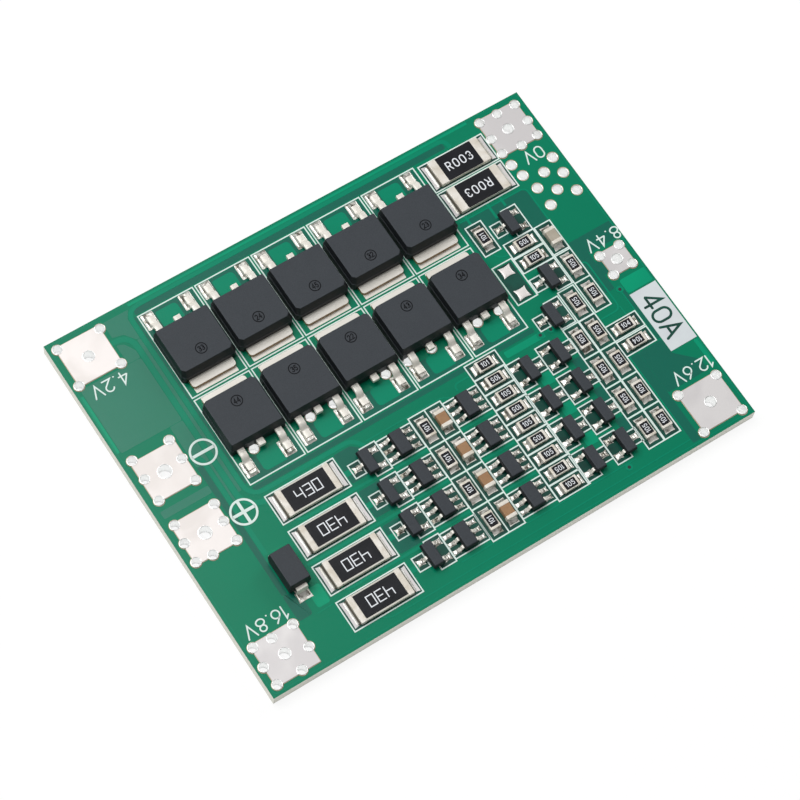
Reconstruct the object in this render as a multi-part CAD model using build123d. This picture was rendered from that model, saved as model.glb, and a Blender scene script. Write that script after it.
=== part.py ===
from build123d import *
import os

# A battery management board for four cells in series: a bare 60 x 45 mm circuit board with tinned wire
# pads, ten power transistors, two current shunts, four bleed resistors and four monitor channels.
# Lengths are millimetres. The origin is the centre of the board's underside, +X runs along its length
# and +Z is up. The layout is a chain: each row and column stands a named gap past the one before it,
# and the board ends a margin past the last, at a length of 60 and a width of 45.

# Board
board_thickness = 1.6
edge_margin = 0.85
back_margin = 2.445

# Wire pads: tinned copper squares, drilled at the middle for a wire and round the rim for vias
pad_length = 5.2
pad_width = 5.1
tap_pad_side = 3.05
pad_thickness = 0.1
rim_via_radius = 0.55
wire_hole_radius = 0.65
plus_hole_radius = 0.75
minus_hole_radius = 0.8
plus_pad_gap = 10.05
minus_pad_gap = 2.75
tap_pad_margin = 0.755
tap_pad_lift = 3.0
tap_pad_gap = 2.47
pull_pad_gap = 2.425

# Power transistors: a flat package with a heat tab at one end and two leads at the other
power_columns = 5
power_gap = 0.4
power_lane = 4.07
power_row_gap = 1.35
power_body_width = 6.6
power_body_length = 6.1
power_body_height = 2.3
power_band_height = 1.25
power_draft = 12.0
power_corner = 0.5
tab_width = 5.3
tab_thickness = 0.5
tab_reach = 1.0
tab_corner = 0.45
tab_inset = 0.9
power_lead_width = 0.8
power_lead_thickness = 0.5
power_lead_spread = 4.57
power_lead_exit = 0.55
power_lead_reach = 2.75
power_foot_length = 1.2
stub_length = 0.8

# Wide chip resistors: two current shunts near the back, four bleed resistors near the front
wide_length = 6.4
wide_width = 3.15
wide_height = 0.6
shunt_cap_length = 1.05
bleed_cap_length = 0.65
cap_skin = 0.04
shunt_count = 2
shunt_lane = 1.58
shunt_pad_gap = 1.25
shunt_margin = 2.575
shunt_gap = 0.7
driver_shunt_gap = 2.165
bleed_count = 4
bleed_lane = 1.93
bleed_margin = 1.855
bleed_gap = 1.35
track_lane = 3.0
channel_track_lane = 3.705
ladder_track_lane = 1.59

# Small chip resistors and capacitors
chip_length = 2.0
chip_width = 1.25
resistor_height = 0.5
capacitor_height = 0.85
chip_cap_length = 0.42

# Small transistors and monitor chips, both moulded with thin bent leads
small_body_length = 2.9
small_body_height = 1.1
small_standoff = 0.08
small_draft = 8.0
transistor_body_width = 1.35
transistor_span = 2.45
monitor_body_width = 1.6
monitor_span = 2.85
small_lead_pitch = 0.95
small_lead_width = 0.4
small_lead_thickness = 0.15
small_lead_exit = 0.5
small_foot_length = 0.3

# Diode with leads folded under its ends
diode_lane = 1.05
diode_lift = 2.4
diode_body_length = 4.3
diode_body_width = 2.6
diode_body_height = 2.2
diode_band_height = 1.3
diode_draft = 7.0
diode_span = 5.2
diode_lead_width = 1.4
diode_lead_thickness = 0.2
diode_fold_length = 1.3

# Monitor channels: four like rows with a gap before each column of parts
channel_count = 4
channel_gap = 1.1
channel_margin = 2.9
sense_transistor_gap = 2.495
first_monitor_gap = 1.37
gate_resistor_gap = 1.23
filter_capacitor_gap = 0.75
second_monitor_gap = 1.05
ladder_gap = 1.775
level_transistor_gap = 1.475
output_transistor_gap = 1.45
first_pull_gap = 1.0
second_pull_gap = 0.85

# Resistor ladder between the monitor chips and the level transistors
ladder_count = 9
ladder_margin = 2.785
ladder_row_gap = 0.735

# Driver corner, beside the power transistors: gaps before its columns and its rows
spare_column_gap = 1.255
driver_transistor_gap = 1.55
driver_chip_gap = 1.25
inner_chip_gap = 1.0
inner_transistor_gap = 1.3
first_driver_row_gap = 1.02
second_driver_row_gap = 1.07
third_driver_row_gap = 0.69
fourth_driver_row_gap = 0.8
fifth_driver_row_gap = 0.68
side_chip_gap = 1.325
side_chip_lift = 12.6
side_chip_row_gap = 0.85

# Empty two-pad footprint
spare_pad_length = 1.45
spare_pad_width = 1.35
spare_pad_waist = 0.12
spare_pad_thickness = 0.05
spare_pad_gap = 1.65

# Vias: nine placed from the zero-volt pad's centre, and eight beside the lower transistors' leads,
# each with its transistor's column and how far it stands from that column's middle
via_sides = 12
stitch_radius = 0.58
stitch_places = ((-2.2, -3.9), (-1.85, -5.6), (2.25, -5.4), (0.4, -6.45), (-1.35, -7.7), (2.2, -7.55),
                 (0.45, -8.95), (-1.25, -10.15), (2.25, -10.1))
lead_via_radius = 0.55
lead_via_gap = 0.4
lead_via_places = ((0, -0.82), (1, -0.92), (1, 1.98), (2, 1.48), (3, -2.67), (3, 0.23), (4, -0.87), (4, 1.88))


def from_right(distance):
    """Place along the board that lies the given distance in from its right edge."""
    return board_length - distance


def from_back(distance):
    """Place across the board that lies the given distance in from its back edge."""
    return board_width - distance


# Places along the board, from its left edge
left_pad_x = edge_margin + pad_length / 2
diode_x = edge_margin + pad_length + diode_lane + diode_body_width / 2
bleed_x = diode_x + diode_body_width / 2 + bleed_lane + wide_length / 2
power_pitch = power_body_width + power_gap
power_first_x = edge_margin + pad_length + power_lane + power_body_width / 2
power_end_x = power_first_x + power_pitch * (power_columns - 1) + power_body_width / 2
shunt_x = power_end_x + shunt_lane + wide_length / 2

sense_transistor_x = bleed_x + wide_length / 2 + sense_transistor_gap + transistor_span / 2
first_monitor_x = sense_transistor_x + transistor_span / 2 + first_monitor_gap + monitor_span / 2
gate_resistor_x = first_monitor_x + monitor_span / 2 + gate_resistor_gap + chip_width / 2
filter_capacitor_x = gate_resistor_x + chip_width + filter_capacitor_gap
second_monitor_x = filter_capacitor_x + chip_width / 2 + second_monitor_gap + monitor_span / 2
ladder_x = second_monitor_x + monitor_span / 2 + ladder_gap + chip_length / 2
level_transistor_x = ladder_x + chip_length / 2 + level_transistor_gap + transistor_span / 2
output_transistor_x = level_transistor_x + transistor_span + output_transistor_gap
first_pull_x = output_transistor_x + transistor_span / 2 + first_pull_gap + chip_width / 2
second_pull_x = first_pull_x + chip_width + second_pull_gap
side_chip_x = second_pull_x + chip_width / 2 + side_chip_gap + chip_length / 2

spare_x = power_end_x + spare_column_gap + chip_width / 2
driver_transistor_x = spare_x + chip_width / 2 + driver_transistor_gap + transistor_span / 2
driver_chip_x = driver_transistor_x + transistor_span / 2 + driver_chip_gap + chip_width / 2
inner_chip_x = driver_chip_x - chip_width - inner_chip_gap
inner_transistor_x = inner_chip_x - chip_width / 2 - inner_transistor_gap - transistor_span / 2

shunt_end_x = shunt_x + wide_length / 2
right_pad_start = max(shunt_end_x + shunt_pad_gap, second_pull_x + chip_width / 2 + pull_pad_gap)
tap_pad_start = driver_chip_x + chip_width / 2 + tap_pad_gap
board_length = max(right_pad_start + pad_length + edge_margin, tap_pad_start + tap_pad_side + tap_pad_margin)
right_pad_x = from_right(edge_margin + pad_length / 2)
tap_pad_x = from_right(tap_pad_margin + tap_pad_side / 2)

# Places across the board, from its front edge
power_back_reach = power_body_length / 2 + power_lead_reach
power_tab_reach = power_body_length / 2 + tab_reach
bleed_pitch = wide_width + bleed_gap
bleed_first_y = bleed_margin + wide_width / 2
bleed_end_y = bleed_first_y + bleed_pitch * (bleed_count - 1) + wide_width / 2
diode_y = edge_margin + pad_width + diode_lift + diode_body_length / 2

channel_pitch = small_body_length + channel_gap
channel_first_y = channel_margin + small_body_length / 2
channel_end_y = channel_first_y + channel_pitch * (channel_count - 1) + small_body_length / 2
ladder_first_y = ladder_margin + chip_width / 2
ladder_pitch = chip_width + ladder_row_gap
ladder_end_y = ladder_first_y + ladder_pitch * (ladder_count - 1) + chip_width / 2

lower_power_start = max(bleed_end_y + track_lane, channel_end_y + channel_track_lane,
                        ladder_end_y + ladder_track_lane)
lower_power_y = lower_power_start + power_back_reach
upper_power_y = lower_power_y + power_tab_reach + power_row_gap + power_tab_reach
side_chip_first_y = side_chip_lift + chip_width / 2
side_chip_pitch = chip_width + side_chip_row_gap

first_driver_y = channel_end_y + first_driver_row_gap + small_body_length / 2
second_driver_y = first_driver_y + small_body_length + second_driver_row_gap
third_driver_y = second_driver_y + small_body_length / 2 + third_driver_row_gap + chip_width / 2
fourth_driver_y = third_driver_y + chip_width + fourth_driver_row_gap
fifth_driver_y = fourth_driver_y + chip_width / 2 + fifth_driver_row_gap + small_body_length / 2
spare_pitch = spare_pad_width + spare_pad_gap
tap_pad_y = channel_end_y + tap_pad_lift + tap_pad_side / 2

shunt_pitch = wide_width + shunt_gap
shunt_last_y = fifth_driver_y + small_body_length / 2 + driver_shunt_gap + wide_width / 2
shunt_first_y = shunt_last_y + shunt_pitch * (shunt_count - 1)
shunt_back_y = shunt_first_y + wide_width / 2
board_width = max(upper_power_y + power_back_reach + back_margin, shunt_back_y + shunt_margin)

front_pad_y = edge_margin + pad_width / 2
plus_pad_y = front_pad_y + pad_width + plus_pad_gap
minus_pad_y = plus_pad_y + pad_width + minus_pad_gap
back_pad_y = from_back(edge_margin + pad_width / 2)

# Wire pads by name: centre, size, wire hole radius, and rim vias as shares of the half size
wire_pads = {
    "wire_pad_4v2": (left_pad_x, back_pad_y, pad_length, pad_width, wire_hole_radius,
                     ((-0.94, 0.9), (0.99, 0.83), (-1.0, -0.95), (0.94, -0.95))),
    "wire_pad_minus": (left_pad_x, minus_pad_y, pad_length, pad_width, minus_hole_radius,
                       ((-0.87, 1.08), (0.84, 1.08), (-0.85, 0.13), (0.86, 0.13), (-0.84, -0.95),
                        (0.84, -0.95))),
    "wire_pad_plus": (left_pad_x, plus_pad_y, pad_length, pad_width, plus_hole_radius,
                      ((-0.86, 0.9), (0.93, 0.86), (-0.92, 0.04), (0.86, 0.04), (-0.95, -0.88),
                       (-0.23, -0.96), (0.88, -0.92))),
    "wire_pad_16v8": (left_pad_x, front_pad_y, pad_length, pad_width, wire_hole_radius,
                      ((-0.93, 0.86), (-0.1, 0.8), (0.9, 0.86), (-1.0, -0.04), (0.94, -0.25),
                       (-0.92, -0.92), (0.21, -0.92))),
    "wire_pad_0v": (right_pad_x, back_pad_y, pad_length, pad_width, wire_hole_radius,
                    ((-0.88, 0.86), (0.0, 0.85), (0.9, 0.85), (-0.9, -0.06), (0.94, -0.08),
                     (-0.88, -0.87), (0.05, -0.96), (0.9, -0.88))),
    "wire_pad_8v4": (tap_pad_x, tap_pad_y, tap_pad_side, tap_pad_side, wire_hole_radius,
                     ((-0.93, 0.8), (0.77, 0.84), (-0.93, -0.9), (0.74, -0.83))),
    "wire_pad_12v6": (right_pad_x, front_pad_y, pad_length, pad_width, wire_hole_radius,
                      ((-0.98, 0.92), (0.9, 0.86), (-1.02, -0.98), (0.9, -0.98))),
}


def hole(x, y, radius, bottom, height):
    """Upright round drill of the given radius."""
    return Pos(x, y, bottom + height / 2) * Cylinder(radius, height)


def via(x, y, radius, bottom, height):
    """Upright drill of a small repeated via, kept to a few flat sides."""
    return Pos(x, y, bottom) * extrude(RegularPolygon(radius, via_sides), height)


def block(x, y, bottom, length, width, height):
    """Block standing at the given height over x, y."""
    return Pos(x, y, bottom + height / 2) * Box(length, width, height)


def on_board(x, y, turn, shape):
    """Stand a shape that is built about its own foot on the board's top face."""
    return Pos(x, y, board_thickness) * Rot(0, 0, turn) * shape


def centred(shape):
    """Move a shape from the layout's corner to the part's own origin under the board's centre."""
    return Pos(-board_length / 2, -board_width / 2, 0) * shape


def save(name, solids):
    """Write one node, as a single solid or as a group of separate solids."""
    placed = [centred(solid) for solid in solids]
    shape = placed[0] if len(placed) == 1 else Compound(children=placed)
    shape.label = name
    export_step(shape, f"parts/{name}.step")


def pad_vias(pad):
    """Rim vias of one wire pad, as x, y and radius."""
    x, y, length, width, _, rim = pad
    return [(x + u * length / 2, y + v * width / 2, rim_via_radius) for u, v in rim]


def stitch_vias():
    """Vias in front of the zero-volt pad."""
    return [(right_pad_x + x, back_pad_y + y, stitch_radius) for x, y in stitch_places]


def lead_vias():
    """Vias beside the leads of the lower row."""
    y = lower_power_y - power_body_length / 2 - lead_via_gap
    return [(power_first_x + power_pitch * column + side, y, lead_via_radius)
            for column, side in lead_via_places]


def board_vias():
    """Every via of the board, as x, y and radius."""
    return [v for pad in wire_pads.values() for v in pad_vias(pad)] + stitch_vias() + lead_vias()


def drills(holes, vias, bottom, height):
    """Tools that cut the given wire holes and vias through a plate."""
    return [hole(*h, bottom, height) for h in holes] + [via(*v, bottom, height) for v in vias]


def make_board():
    """Glass-fibre board with its wire holes and vias."""
    blank = block(board_length / 2, board_width / 2, 0, board_length, board_width, board_thickness)
    wire_holes = [(pad[0], pad[1], pad[4]) for pad in wire_pads.values()]
    return blank - drills(wire_holes, board_vias(), 0, board_thickness)


def make_wire_pad(pad):
    """Tinned plate on the board, cut open by its wire hole and its rim vias."""
    x, y, length, width, radius, _ = pad
    plate = block(x, y, board_thickness, length, width, pad_thickness)
    return plate - drills([(x, y, radius)], pad_vias(pad), board_thickness, pad_thickness)


def make_spare_pad(x, y):
    """Bare solder land with hollow sides towards and away from its partner."""
    half_length = spare_pad_length / 2
    half_width = spare_pad_width / 2
    waist = half_width - spare_pad_waist
    corners = ((-half_length, -half_width), (half_length, -half_width),
               (half_length, half_width), (-half_length, half_width))
    edges = Line(corners[1], corners[2]) + Line(corners[3], corners[0])
    edges += ThreePointArc(corners[0], (0, -waist), corners[1])
    edges += ThreePointArc(corners[2], (0, waist), corners[3])
    return on_board(x, y, 0, extrude(make_face(edges), spare_pad_thickness))


def moulded_body(outline, height, band, draft, bottom=0.0):
    """Moulded block: upright to the top of its parting band, then drawn in towards its top face."""
    lower = Pos(0, 0, bottom) * extrude(outline, band - bottom)
    upper = Pos(0, 0, band) * extrude(outline, height - band, taper=draft)
    return lower + upper


def bent_lead(start, tip, exit_height, thickness, width, foot):
    """Stout lead along +X: out of the body's face, down in one slant and flat along the board."""
    knee = start + thickness
    heel = tip - foot
    slant = thickness / 2
    outline = Polyline(
        (start, exit_height), (knee, exit_height), (heel, 0), (tip, 0), (tip, thickness),
        (heel + slant, thickness), (knee + slant, exit_height + thickness),
        (start, exit_height + thickness), close=True,
    )
    return extrude(make_face(Plane.XZ * outline), width / 2, both=True)


def thin_lead(start, tip):
    """Thin lead along +X: straight down from the body's face to a flat foot."""
    heel = tip - small_foot_length
    top = small_lead_exit + small_lead_thickness
    outline = Polyline(
        (start, small_lead_exit), (heel, 0), (tip, 0), (tip, small_lead_thickness),
        (heel + small_lead_thickness / 2, small_lead_thickness), (start, top), close=True,
    )
    return extrude(make_face(Plane.XZ * outline), small_lead_width / 2, both=True)


def power_tab():
    """Heat tab that forms the package's floor and runs out past its far end, with cut corners."""
    near = power_body_length / 2 - tab_inset
    far = -power_body_length / 2 - tab_reach
    half = tab_width / 2
    outline = Polyline(
        (-half, near), (-half, far + tab_corner), (-half + tab_corner, far),
        (half - tab_corner, far), (half, far + tab_corner), (half, near), close=True,
    )
    return extrude(make_face(outline), tab_thickness)


def power_body():
    """Moulded body with cut corners at its far end, over a recess for the tab."""
    half_width = power_body_width / 2
    half_length = power_body_length / 2
    outline = make_face(Polyline(
        (-half_width, half_length), (-half_width, power_corner - half_length),
        (power_corner - half_width, -half_length), (half_width - power_corner, -half_length),
        (half_width, power_corner - half_length), (half_width, half_length), close=True,
    ))
    return moulded_body(outline, power_body_height, power_band_height, power_draft) - power_tab()


def power_frame():
    """Tab, two bent leads and the cut-off middle lead, with leads along +Y."""
    face = power_body_length / 2
    lead = bent_lead(face, face + power_lead_reach, power_lead_exit, power_lead_thickness,
                     power_lead_width, power_foot_length)
    leads = [Pos(side * power_lead_spread / 2, 0, 0) * Rot(0, 0, 90) * lead for side in (-1, 1)]
    stub = block(0, face + stub_length / 2, power_lead_exit, power_lead_width, stub_length,
                 power_lead_thickness)
    return [power_tab(), *leads, stub]


def power_places():
    """Places of the ten power transistors: the back row with leads to the back, the other turned."""
    rows = ((upper_power_y, 0), (lower_power_y, 180))
    return [(power_first_x + power_pitch * k, y, turn) for y, turn in rows for k in range(power_columns)]


def chip_body(length, width, height, cap):
    """Ceramic block between two end caps."""
    return block(0, 0, cap_skin, length - 2 * cap, width - 2 * cap_skin, height - 2 * cap_skin)


def chip_caps(length, width, height, cap):
    """Two tinned end caps, a skin's thickness proud of the ceramic."""
    middle = (length - cap) / 2
    return [block(side * middle, 0, 0, cap, width, height) for side in (-1, 1)]


def side_leads(span, body_width, offsets, side):
    """Thin leads on one side of a small moulded body, at the offsets along it."""
    lead = thin_lead(body_width / 2, span / 2)
    turn = 0 if side > 0 else 180
    return [Pos(0, offset, 0) * Rot(0, 0, turn) * lead for offset in offsets]


def small_body(width):
    """Small moulded body, long along Y, a little clear of the board."""
    band = small_lead_exit + small_lead_thickness
    outline = Rectangle(width, small_body_length)
    return moulded_body(outline, small_body_height, band, small_draft, small_standoff)


def transistor_leads(single_side):
    """One lead on the given side and two on the other."""
    pair = (-small_lead_pitch, small_lead_pitch)
    single = side_leads(transistor_span, transistor_body_width, (0,), single_side)
    return single + side_leads(transistor_span, transistor_body_width, pair, -single_side)


def monitor_leads():
    """Three leads on each side."""
    three = (-small_lead_pitch, 0, small_lead_pitch)
    return [lead for side in (-1, 1) for lead in side_leads(monitor_span, monitor_body_width, three, side)]


def diode_body():
    """Moulded diode body, long along Y, standing on its folded leads."""
    outline = Rectangle(diode_body_width, diode_body_length)
    return moulded_body(outline, diode_body_height, diode_band_height, diode_draft, diode_lead_thickness)


def diode_leads():
    """Two flat leads that leave the ends at half height, run down and fold under the body."""
    face = diode_body_length / 2
    tip = diode_span / 2
    under = tip - diode_fold_length
    shin = tip - diode_lead_thickness
    root = diode_band_height
    outline = Polyline(
        (face, root), (tip, root), (tip, 0), (under, 0), (under, diode_lead_thickness),
        (shin, diode_lead_thickness), (shin, root - diode_lead_thickness),
        (face, root - diode_lead_thickness), close=True,
    )
    lead = extrude(make_face(Plane.XZ * outline), diode_lead_width / 2, both=True)
    return [Rot(0, 0, 90) * lead, Rot(0, 0, -90) * lead]


def channel_rows():
    """Heights up the board of the four channels."""
    return [channel_first_y + channel_pitch * k for k in range(channel_count)]


def resistor_places():
    """Places of all small chip resistors: the channels' own, the ladder and the driver corner."""
    columns = (gate_resistor_x, first_pull_x, second_pull_x)
    places = [(x, y, 90) for y in channel_rows() for x in columns]
    places += [(ladder_x, ladder_first_y + ladder_pitch * k, 0) for k in range(ladder_count)]
    places += [(side_chip_x, side_chip_first_y + side_chip_pitch * k, 0) for k in range(2)]
    places += [(driver_transistor_x, third_driver_y, 0), (driver_transistor_x, fourth_driver_y, 0)]
    places += [(inner_chip_x, first_driver_y, 90), (driver_chip_x, first_driver_y, 90)]
    places += [(driver_chip_x, second_driver_y, 90), (spare_x, fifth_driver_y, 90)]
    return places


def capacitor_places():
    """Places of the small capacitors: one in each channel and one in the driver corner."""
    driver_y = (third_driver_y + fourth_driver_y) / 2
    return [(filter_capacitor_x, y, 90) for y in channel_rows()] + [(driver_chip_x, driver_y, 90)]


def driver_places():
    """Places of the driver corner's three transistors, each with its single lead to the left."""
    return [(inner_transistor_x, first_driver_y, -1), (driver_transistor_x, second_driver_y, -1),
            (driver_transistor_x, fifth_driver_y, -1)]


def save_chips(name, places, height):
    """Write the ceramic blocks and the end caps of like small chips as two nodes."""
    size = (chip_length, chip_width, height, chip_cap_length)
    save(f"{name}_bodies", [on_board(x, y, turn, chip_body(*size)) for x, y, turn in places])
    save(f"{name}_end_caps", [on_board(x, y, turn, end) for x, y, turn in places for end in chip_caps(*size)])


def save_wide_chips(name, places, cap):
    """Write each wide chip's ceramic block as a node, and all their end caps as one."""
    size = (wide_length, wide_width, wide_height, cap)
    for number, (x, y) in enumerate(places, 1):
        save(f"{name}_{number}_body", [on_board(x, y, 0, chip_body(*size))])
    save(f"{name}_end_caps", [on_board(x, y, 0, end) for x, y in places for end in chip_caps(*size)])


def main():
    os.makedirs("parts", exist_ok=True)
    save("circuit_board", [make_board()])
    for name, pad in wire_pads.items():
        save(name, [make_wire_pad(pad)])
    save("spare_pads", [make_spare_pad(spare_x, second_driver_y + spare_pitch * k) for k in range(2)])

    for number, (x, y, turn) in enumerate(power_places(), 1):
        save(f"power_transistor_{number}_body", [on_board(x, y, turn, power_body())])
        save(f"power_transistor_{number}_leads", [on_board(x, y, turn, piece) for piece in power_frame()])

    shunts = [(shunt_x, shunt_first_y - shunt_pitch * k) for k in range(shunt_count)]
    bleeds = [(bleed_x, bleed_first_y + bleed_pitch * k) for k in range(bleed_count)]
    save_wide_chips("shunt", shunts, shunt_cap_length)
    save_wide_chips("bleed_resistor", bleeds, bleed_cap_length)

    save("diode_body", [on_board(diode_x, diode_y, 0, diode_body())])
    save("diode_leads", [on_board(diode_x, diode_y, 0, lead) for lead in diode_leads()])

    transistors = driver_places()
    save("driver_transistor_bodies",
         [on_board(x, y, 0, small_body(transistor_body_width)) for x, y, _ in transistors])
    for channel, y in enumerate(channel_rows(), 1):
        monitors = (first_monitor_x, second_monitor_x)
        save(f"channel_{channel}_monitor_bodies",
             [on_board(x, y, 0, small_body(monitor_body_width)) for x in monitors])
        save(f"channel_{channel}_monitor_leads",
             [on_board(x, y, 0, lead) for x in monitors for lead in monitor_leads()])
        row = [(sense_transistor_x, y, -1), (level_transistor_x, y, 1), (output_transistor_x, y, 1)]
        save(f"channel_{channel}_transistor_bodies",
             [on_board(x, y, 0, small_body(transistor_body_width)) for x, y, _ in row])
        transistors += row
    save("small_transistor_leads",
         [on_board(x, y, 0, lead) for x, y, side in transistors for lead in transistor_leads(side)])

    save_chips("chip_resistor", resistor_places(), resistor_height)
    save_chips("chip_capacitor", capacitor_places(), capacitor_height)


main()
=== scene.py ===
"""Looks of a battery management board: a green circuit board with tinned wire pads, ten power
transistors, shunts, bleed resistors and four rows of small parts. Lengths are millimetres until a
mesh is made. The frame's origin is the middle of the board's underside."""
import math

import bmesh
import bpy
import numpy as np
from mathutils import Matrix, Vector


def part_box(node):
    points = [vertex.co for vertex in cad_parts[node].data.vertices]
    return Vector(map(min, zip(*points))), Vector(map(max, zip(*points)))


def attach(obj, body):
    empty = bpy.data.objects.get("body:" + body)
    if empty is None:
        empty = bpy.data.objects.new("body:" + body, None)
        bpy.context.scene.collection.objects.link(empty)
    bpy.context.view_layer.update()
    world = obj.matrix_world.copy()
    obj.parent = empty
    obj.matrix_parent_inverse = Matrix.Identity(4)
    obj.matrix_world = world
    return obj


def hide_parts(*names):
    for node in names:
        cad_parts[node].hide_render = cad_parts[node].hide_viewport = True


bl_info = {
    "name": "Battery management board",
    "version": (1, 0, 0),
    "blender": (4, 5, 0),
    "location": "3D View > Sidebar > Board",
    "description": "Dresses a battery management board with its finishes, solder, tracks and print",
    "category": "Object",
}

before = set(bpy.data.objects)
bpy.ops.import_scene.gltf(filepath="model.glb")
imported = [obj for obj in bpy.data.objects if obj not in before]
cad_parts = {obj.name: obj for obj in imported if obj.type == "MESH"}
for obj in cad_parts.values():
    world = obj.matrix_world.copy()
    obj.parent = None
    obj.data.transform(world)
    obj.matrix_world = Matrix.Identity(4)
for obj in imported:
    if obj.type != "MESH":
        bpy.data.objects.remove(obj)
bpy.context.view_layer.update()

MM = 0.001
CORNER = np.array(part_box("circuit_board")[0][:2]) / MM
BOARD_HIGH = np.array(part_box("circuit_board")[1]) / MM
TOP = BOARD_HIGH[2]
SEAT = TOP - 0.005  # underside of what is laid on the board
LAND_TOP = TOP + 0.03
LAYER = 0.0015  # step in height between plates that cross
SMOOTH_ANGLE = math.radians(38)
LEFT_PADS = ("wire_pad_4v2", "wire_pad_minus", "wire_pad_plus")
WIRE_PADS = (*LEFT_PADS, "wire_pad_16v8", "wire_pad_0v", "wire_pad_8v4", "wire_pad_12v6")
POWER_COUNT = 10
CHANNELS = range(1, 5)
MONITORS = [f"channel_{k}_monitor_bodies" for k in CHANNELS]
TRANSISTORS = [f"channel_{k}_transistor_bodies" for k in CHANNELS] + ["driver_transistor_bodies"]


# Reading places from the frame

def node_box(node):
    """Lowest and highest corner of a node in mm."""
    low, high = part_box(node)
    return np.array(low) / MM, np.array(high) / MM


def flat(low, high):
    """Centre and half size of a box as seen from above."""
    return (low + high)[:2] / 2, (high - low)[:2] / 2


def flat_box(node):
    """Centre and half size of a node as seen from above."""
    return flat(*node_box(node))


def side(low, high, axis, way):
    """Where a box ends along an axis, on its far side or, where the way is -1, on its near side."""
    return (high if way > 0 else low)[axis]


def mesh_points(node):
    """Mesh of a node, and its points in mm."""
    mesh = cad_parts[node].data
    points = np.empty(len(mesh.vertices) * 3)
    mesh.vertices.foreach_get("co", points)
    return mesh, points.reshape(-1, 3) / MM


def islands(node):
    """Boxes of a node's separate solids, as rows of lowest and highest corner in mm. Points that
    coincide share a label, and each triangle hands its lowest label to its corners until none changes."""
    mesh, points = mesh_points(node)
    mesh.calc_loop_triangles()
    same = np.unique(np.round(points, 3), axis=0, return_inverse=True)[1].ravel()
    triangles = same[np.array([triangle.vertices for triangle in mesh.loop_triangles])]
    label = np.arange(same.max() + 1)
    settled = False
    while not settled:
        spread = label.copy()
        np.minimum.at(spread, triangles.ravel(), np.repeat(label[triangles].min(axis=1), 3))
        spread = spread[spread]
        settled = bool((spread == label).all())
        label = spread
    solids = [points[label[same] == key] for key in np.unique(label)]
    return [(solid.min(axis=0), solid.max(axis=0)) for solid in solids]


# Outlines, as rows of x and y that run anticlockwise

def box_outline(low_x, low_y, high_x, high_y):
    """Rectangle between two corners."""
    return np.array(((low_x, low_y), (high_x, low_y), (high_x, high_y), (low_x, high_y)))


def rounded_box(centre, half, corners, steps=4):
    """Rectangle with a quarter circle at each corner: the arc's centre lies a radius in from both
    sides, and each point is that centre plus the radius times the cosine and sine of its angle.
    The four radii run from the right back corner anticlockwise."""
    radii = np.minimum(np.broadcast_to(corners, (4,)).astype(float), min(half) * 0.98)[:, None]
    signs = np.array(((1, 1), (-1, 1), (-1, -1), (1, -1)), dtype=float)
    angles = np.arange(4)[:, None] * math.pi / 2 + np.linspace(0, math.pi / 2, steps + 1)
    x = centre[0] + signs[:, :1] * (half[0] - radii) + radii * np.cos(angles)
    y = centre[1] + signs[:, 1:] * (half[1] - radii) + radii * np.sin(angles)
    return np.stack((x.ravel(), y.ravel()), axis=1)


def softened(points, cut, closed=True, steps=5):
    """Line whose corners are curves: each is (1-s)^2 A + 2s(1-s) P + s^2 B, where P is the corner
    and A and B lie the cut before and after it. An open line keeps its two ends."""
    before = np.roll(points, 1, axis=0) - points
    after = np.roll(points, -1, axis=0) - points
    cuts = np.broadcast_to(cut, (len(points),))[:, None]
    start = points + before / np.linalg.norm(before, axis=1, keepdims=True) * cuts
    end = points + after / np.linalg.norm(after, axis=1, keepdims=True) * cuts
    s = np.linspace(0, 1, steps + 1)[None, :, None]
    curves = (1 - s) ** 2 * start[:, None] + 2 * s * (1 - s) * points[:, None] + s ** 2 * end[:, None]
    if closed:
        return curves.reshape(-1, 2)
    return np.concatenate((points[:1], curves[1:-1].reshape(-1, 2), points[-1:]))


def pinched(centre, half, pull, steps=6):
    """Box outline whose four sides bow inwards by a share of its half sizes along parabolas."""
    along = np.linspace(-1, 1, steps, endpoint=False)
    inward = 1 - pull * (1 - along ** 2)
    sides = ((along, -inward), (inward, along), (-along, inward), (-inward, -along))
    return np.concatenate([np.stack(row, axis=1) for row in sides]) * half + centre


def inset(outline, distance):
    """Outline moved inwards: each corner goes along the sum of its sides' inward normals, divided by
    one plus their dot product, so that every side moves by the distance."""
    sides = np.roll(outline, -1, axis=0) - outline
    sides = sides / np.maximum(np.linalg.norm(sides, axis=1, keepdims=True), 1e-9)
    after = np.stack((-sides[:, 1], sides[:, 0]), axis=1)
    before = np.roll(after, 1, axis=0)
    return outline + distance * (before + after) / (1 + (before * after).sum(axis=1, keepdims=True))


def arc(centre, radii, first, last, steps=10):
    """Ellipse arc between two angles in degrees: centre plus radii times cosine and sine."""
    angles = np.radians(np.linspace(first, last, steps + 1))
    return np.asarray(centre) + np.stack((np.cos(angles), np.sin(angles)), axis=1) * radii


# Surfaces, each a pair of points and faces

def skin(grid, closed=False):
    """Quads over a grid of points whose rows are loops. The last row meets the first where it is
    closed, and otherwise a flat face ends the skin at the first and the last row."""
    rows, columns = grid.shape[:2]
    row = np.arange(rows if closed else rows - 1)[:, None] * columns
    next_row = (row + columns) % (rows * columns)
    column = np.arange(columns)
    next_column = (column + 1) % columns
    corners = (row + column, row + next_column, next_row + next_column, next_row + column)
    faces = np.stack(corners, axis=-1).reshape(-1, 4).tolist()
    if not closed:
        faces += [list(range(columns))[::-1], list(range((rows - 1) * columns, rows * columns))]
    return grid.reshape(-1, 3), faces


def stacked(outlines, heights):
    """Closed skin through like outlines at rising heights, with a flat face at each end."""
    outlines = np.asarray(outlines)
    z = np.broadcast_to(np.asarray(heights, dtype=float)[:, None, None], (*outlines.shape[:2], 1))
    return skin(np.concatenate((outlines, z), axis=2))


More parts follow.
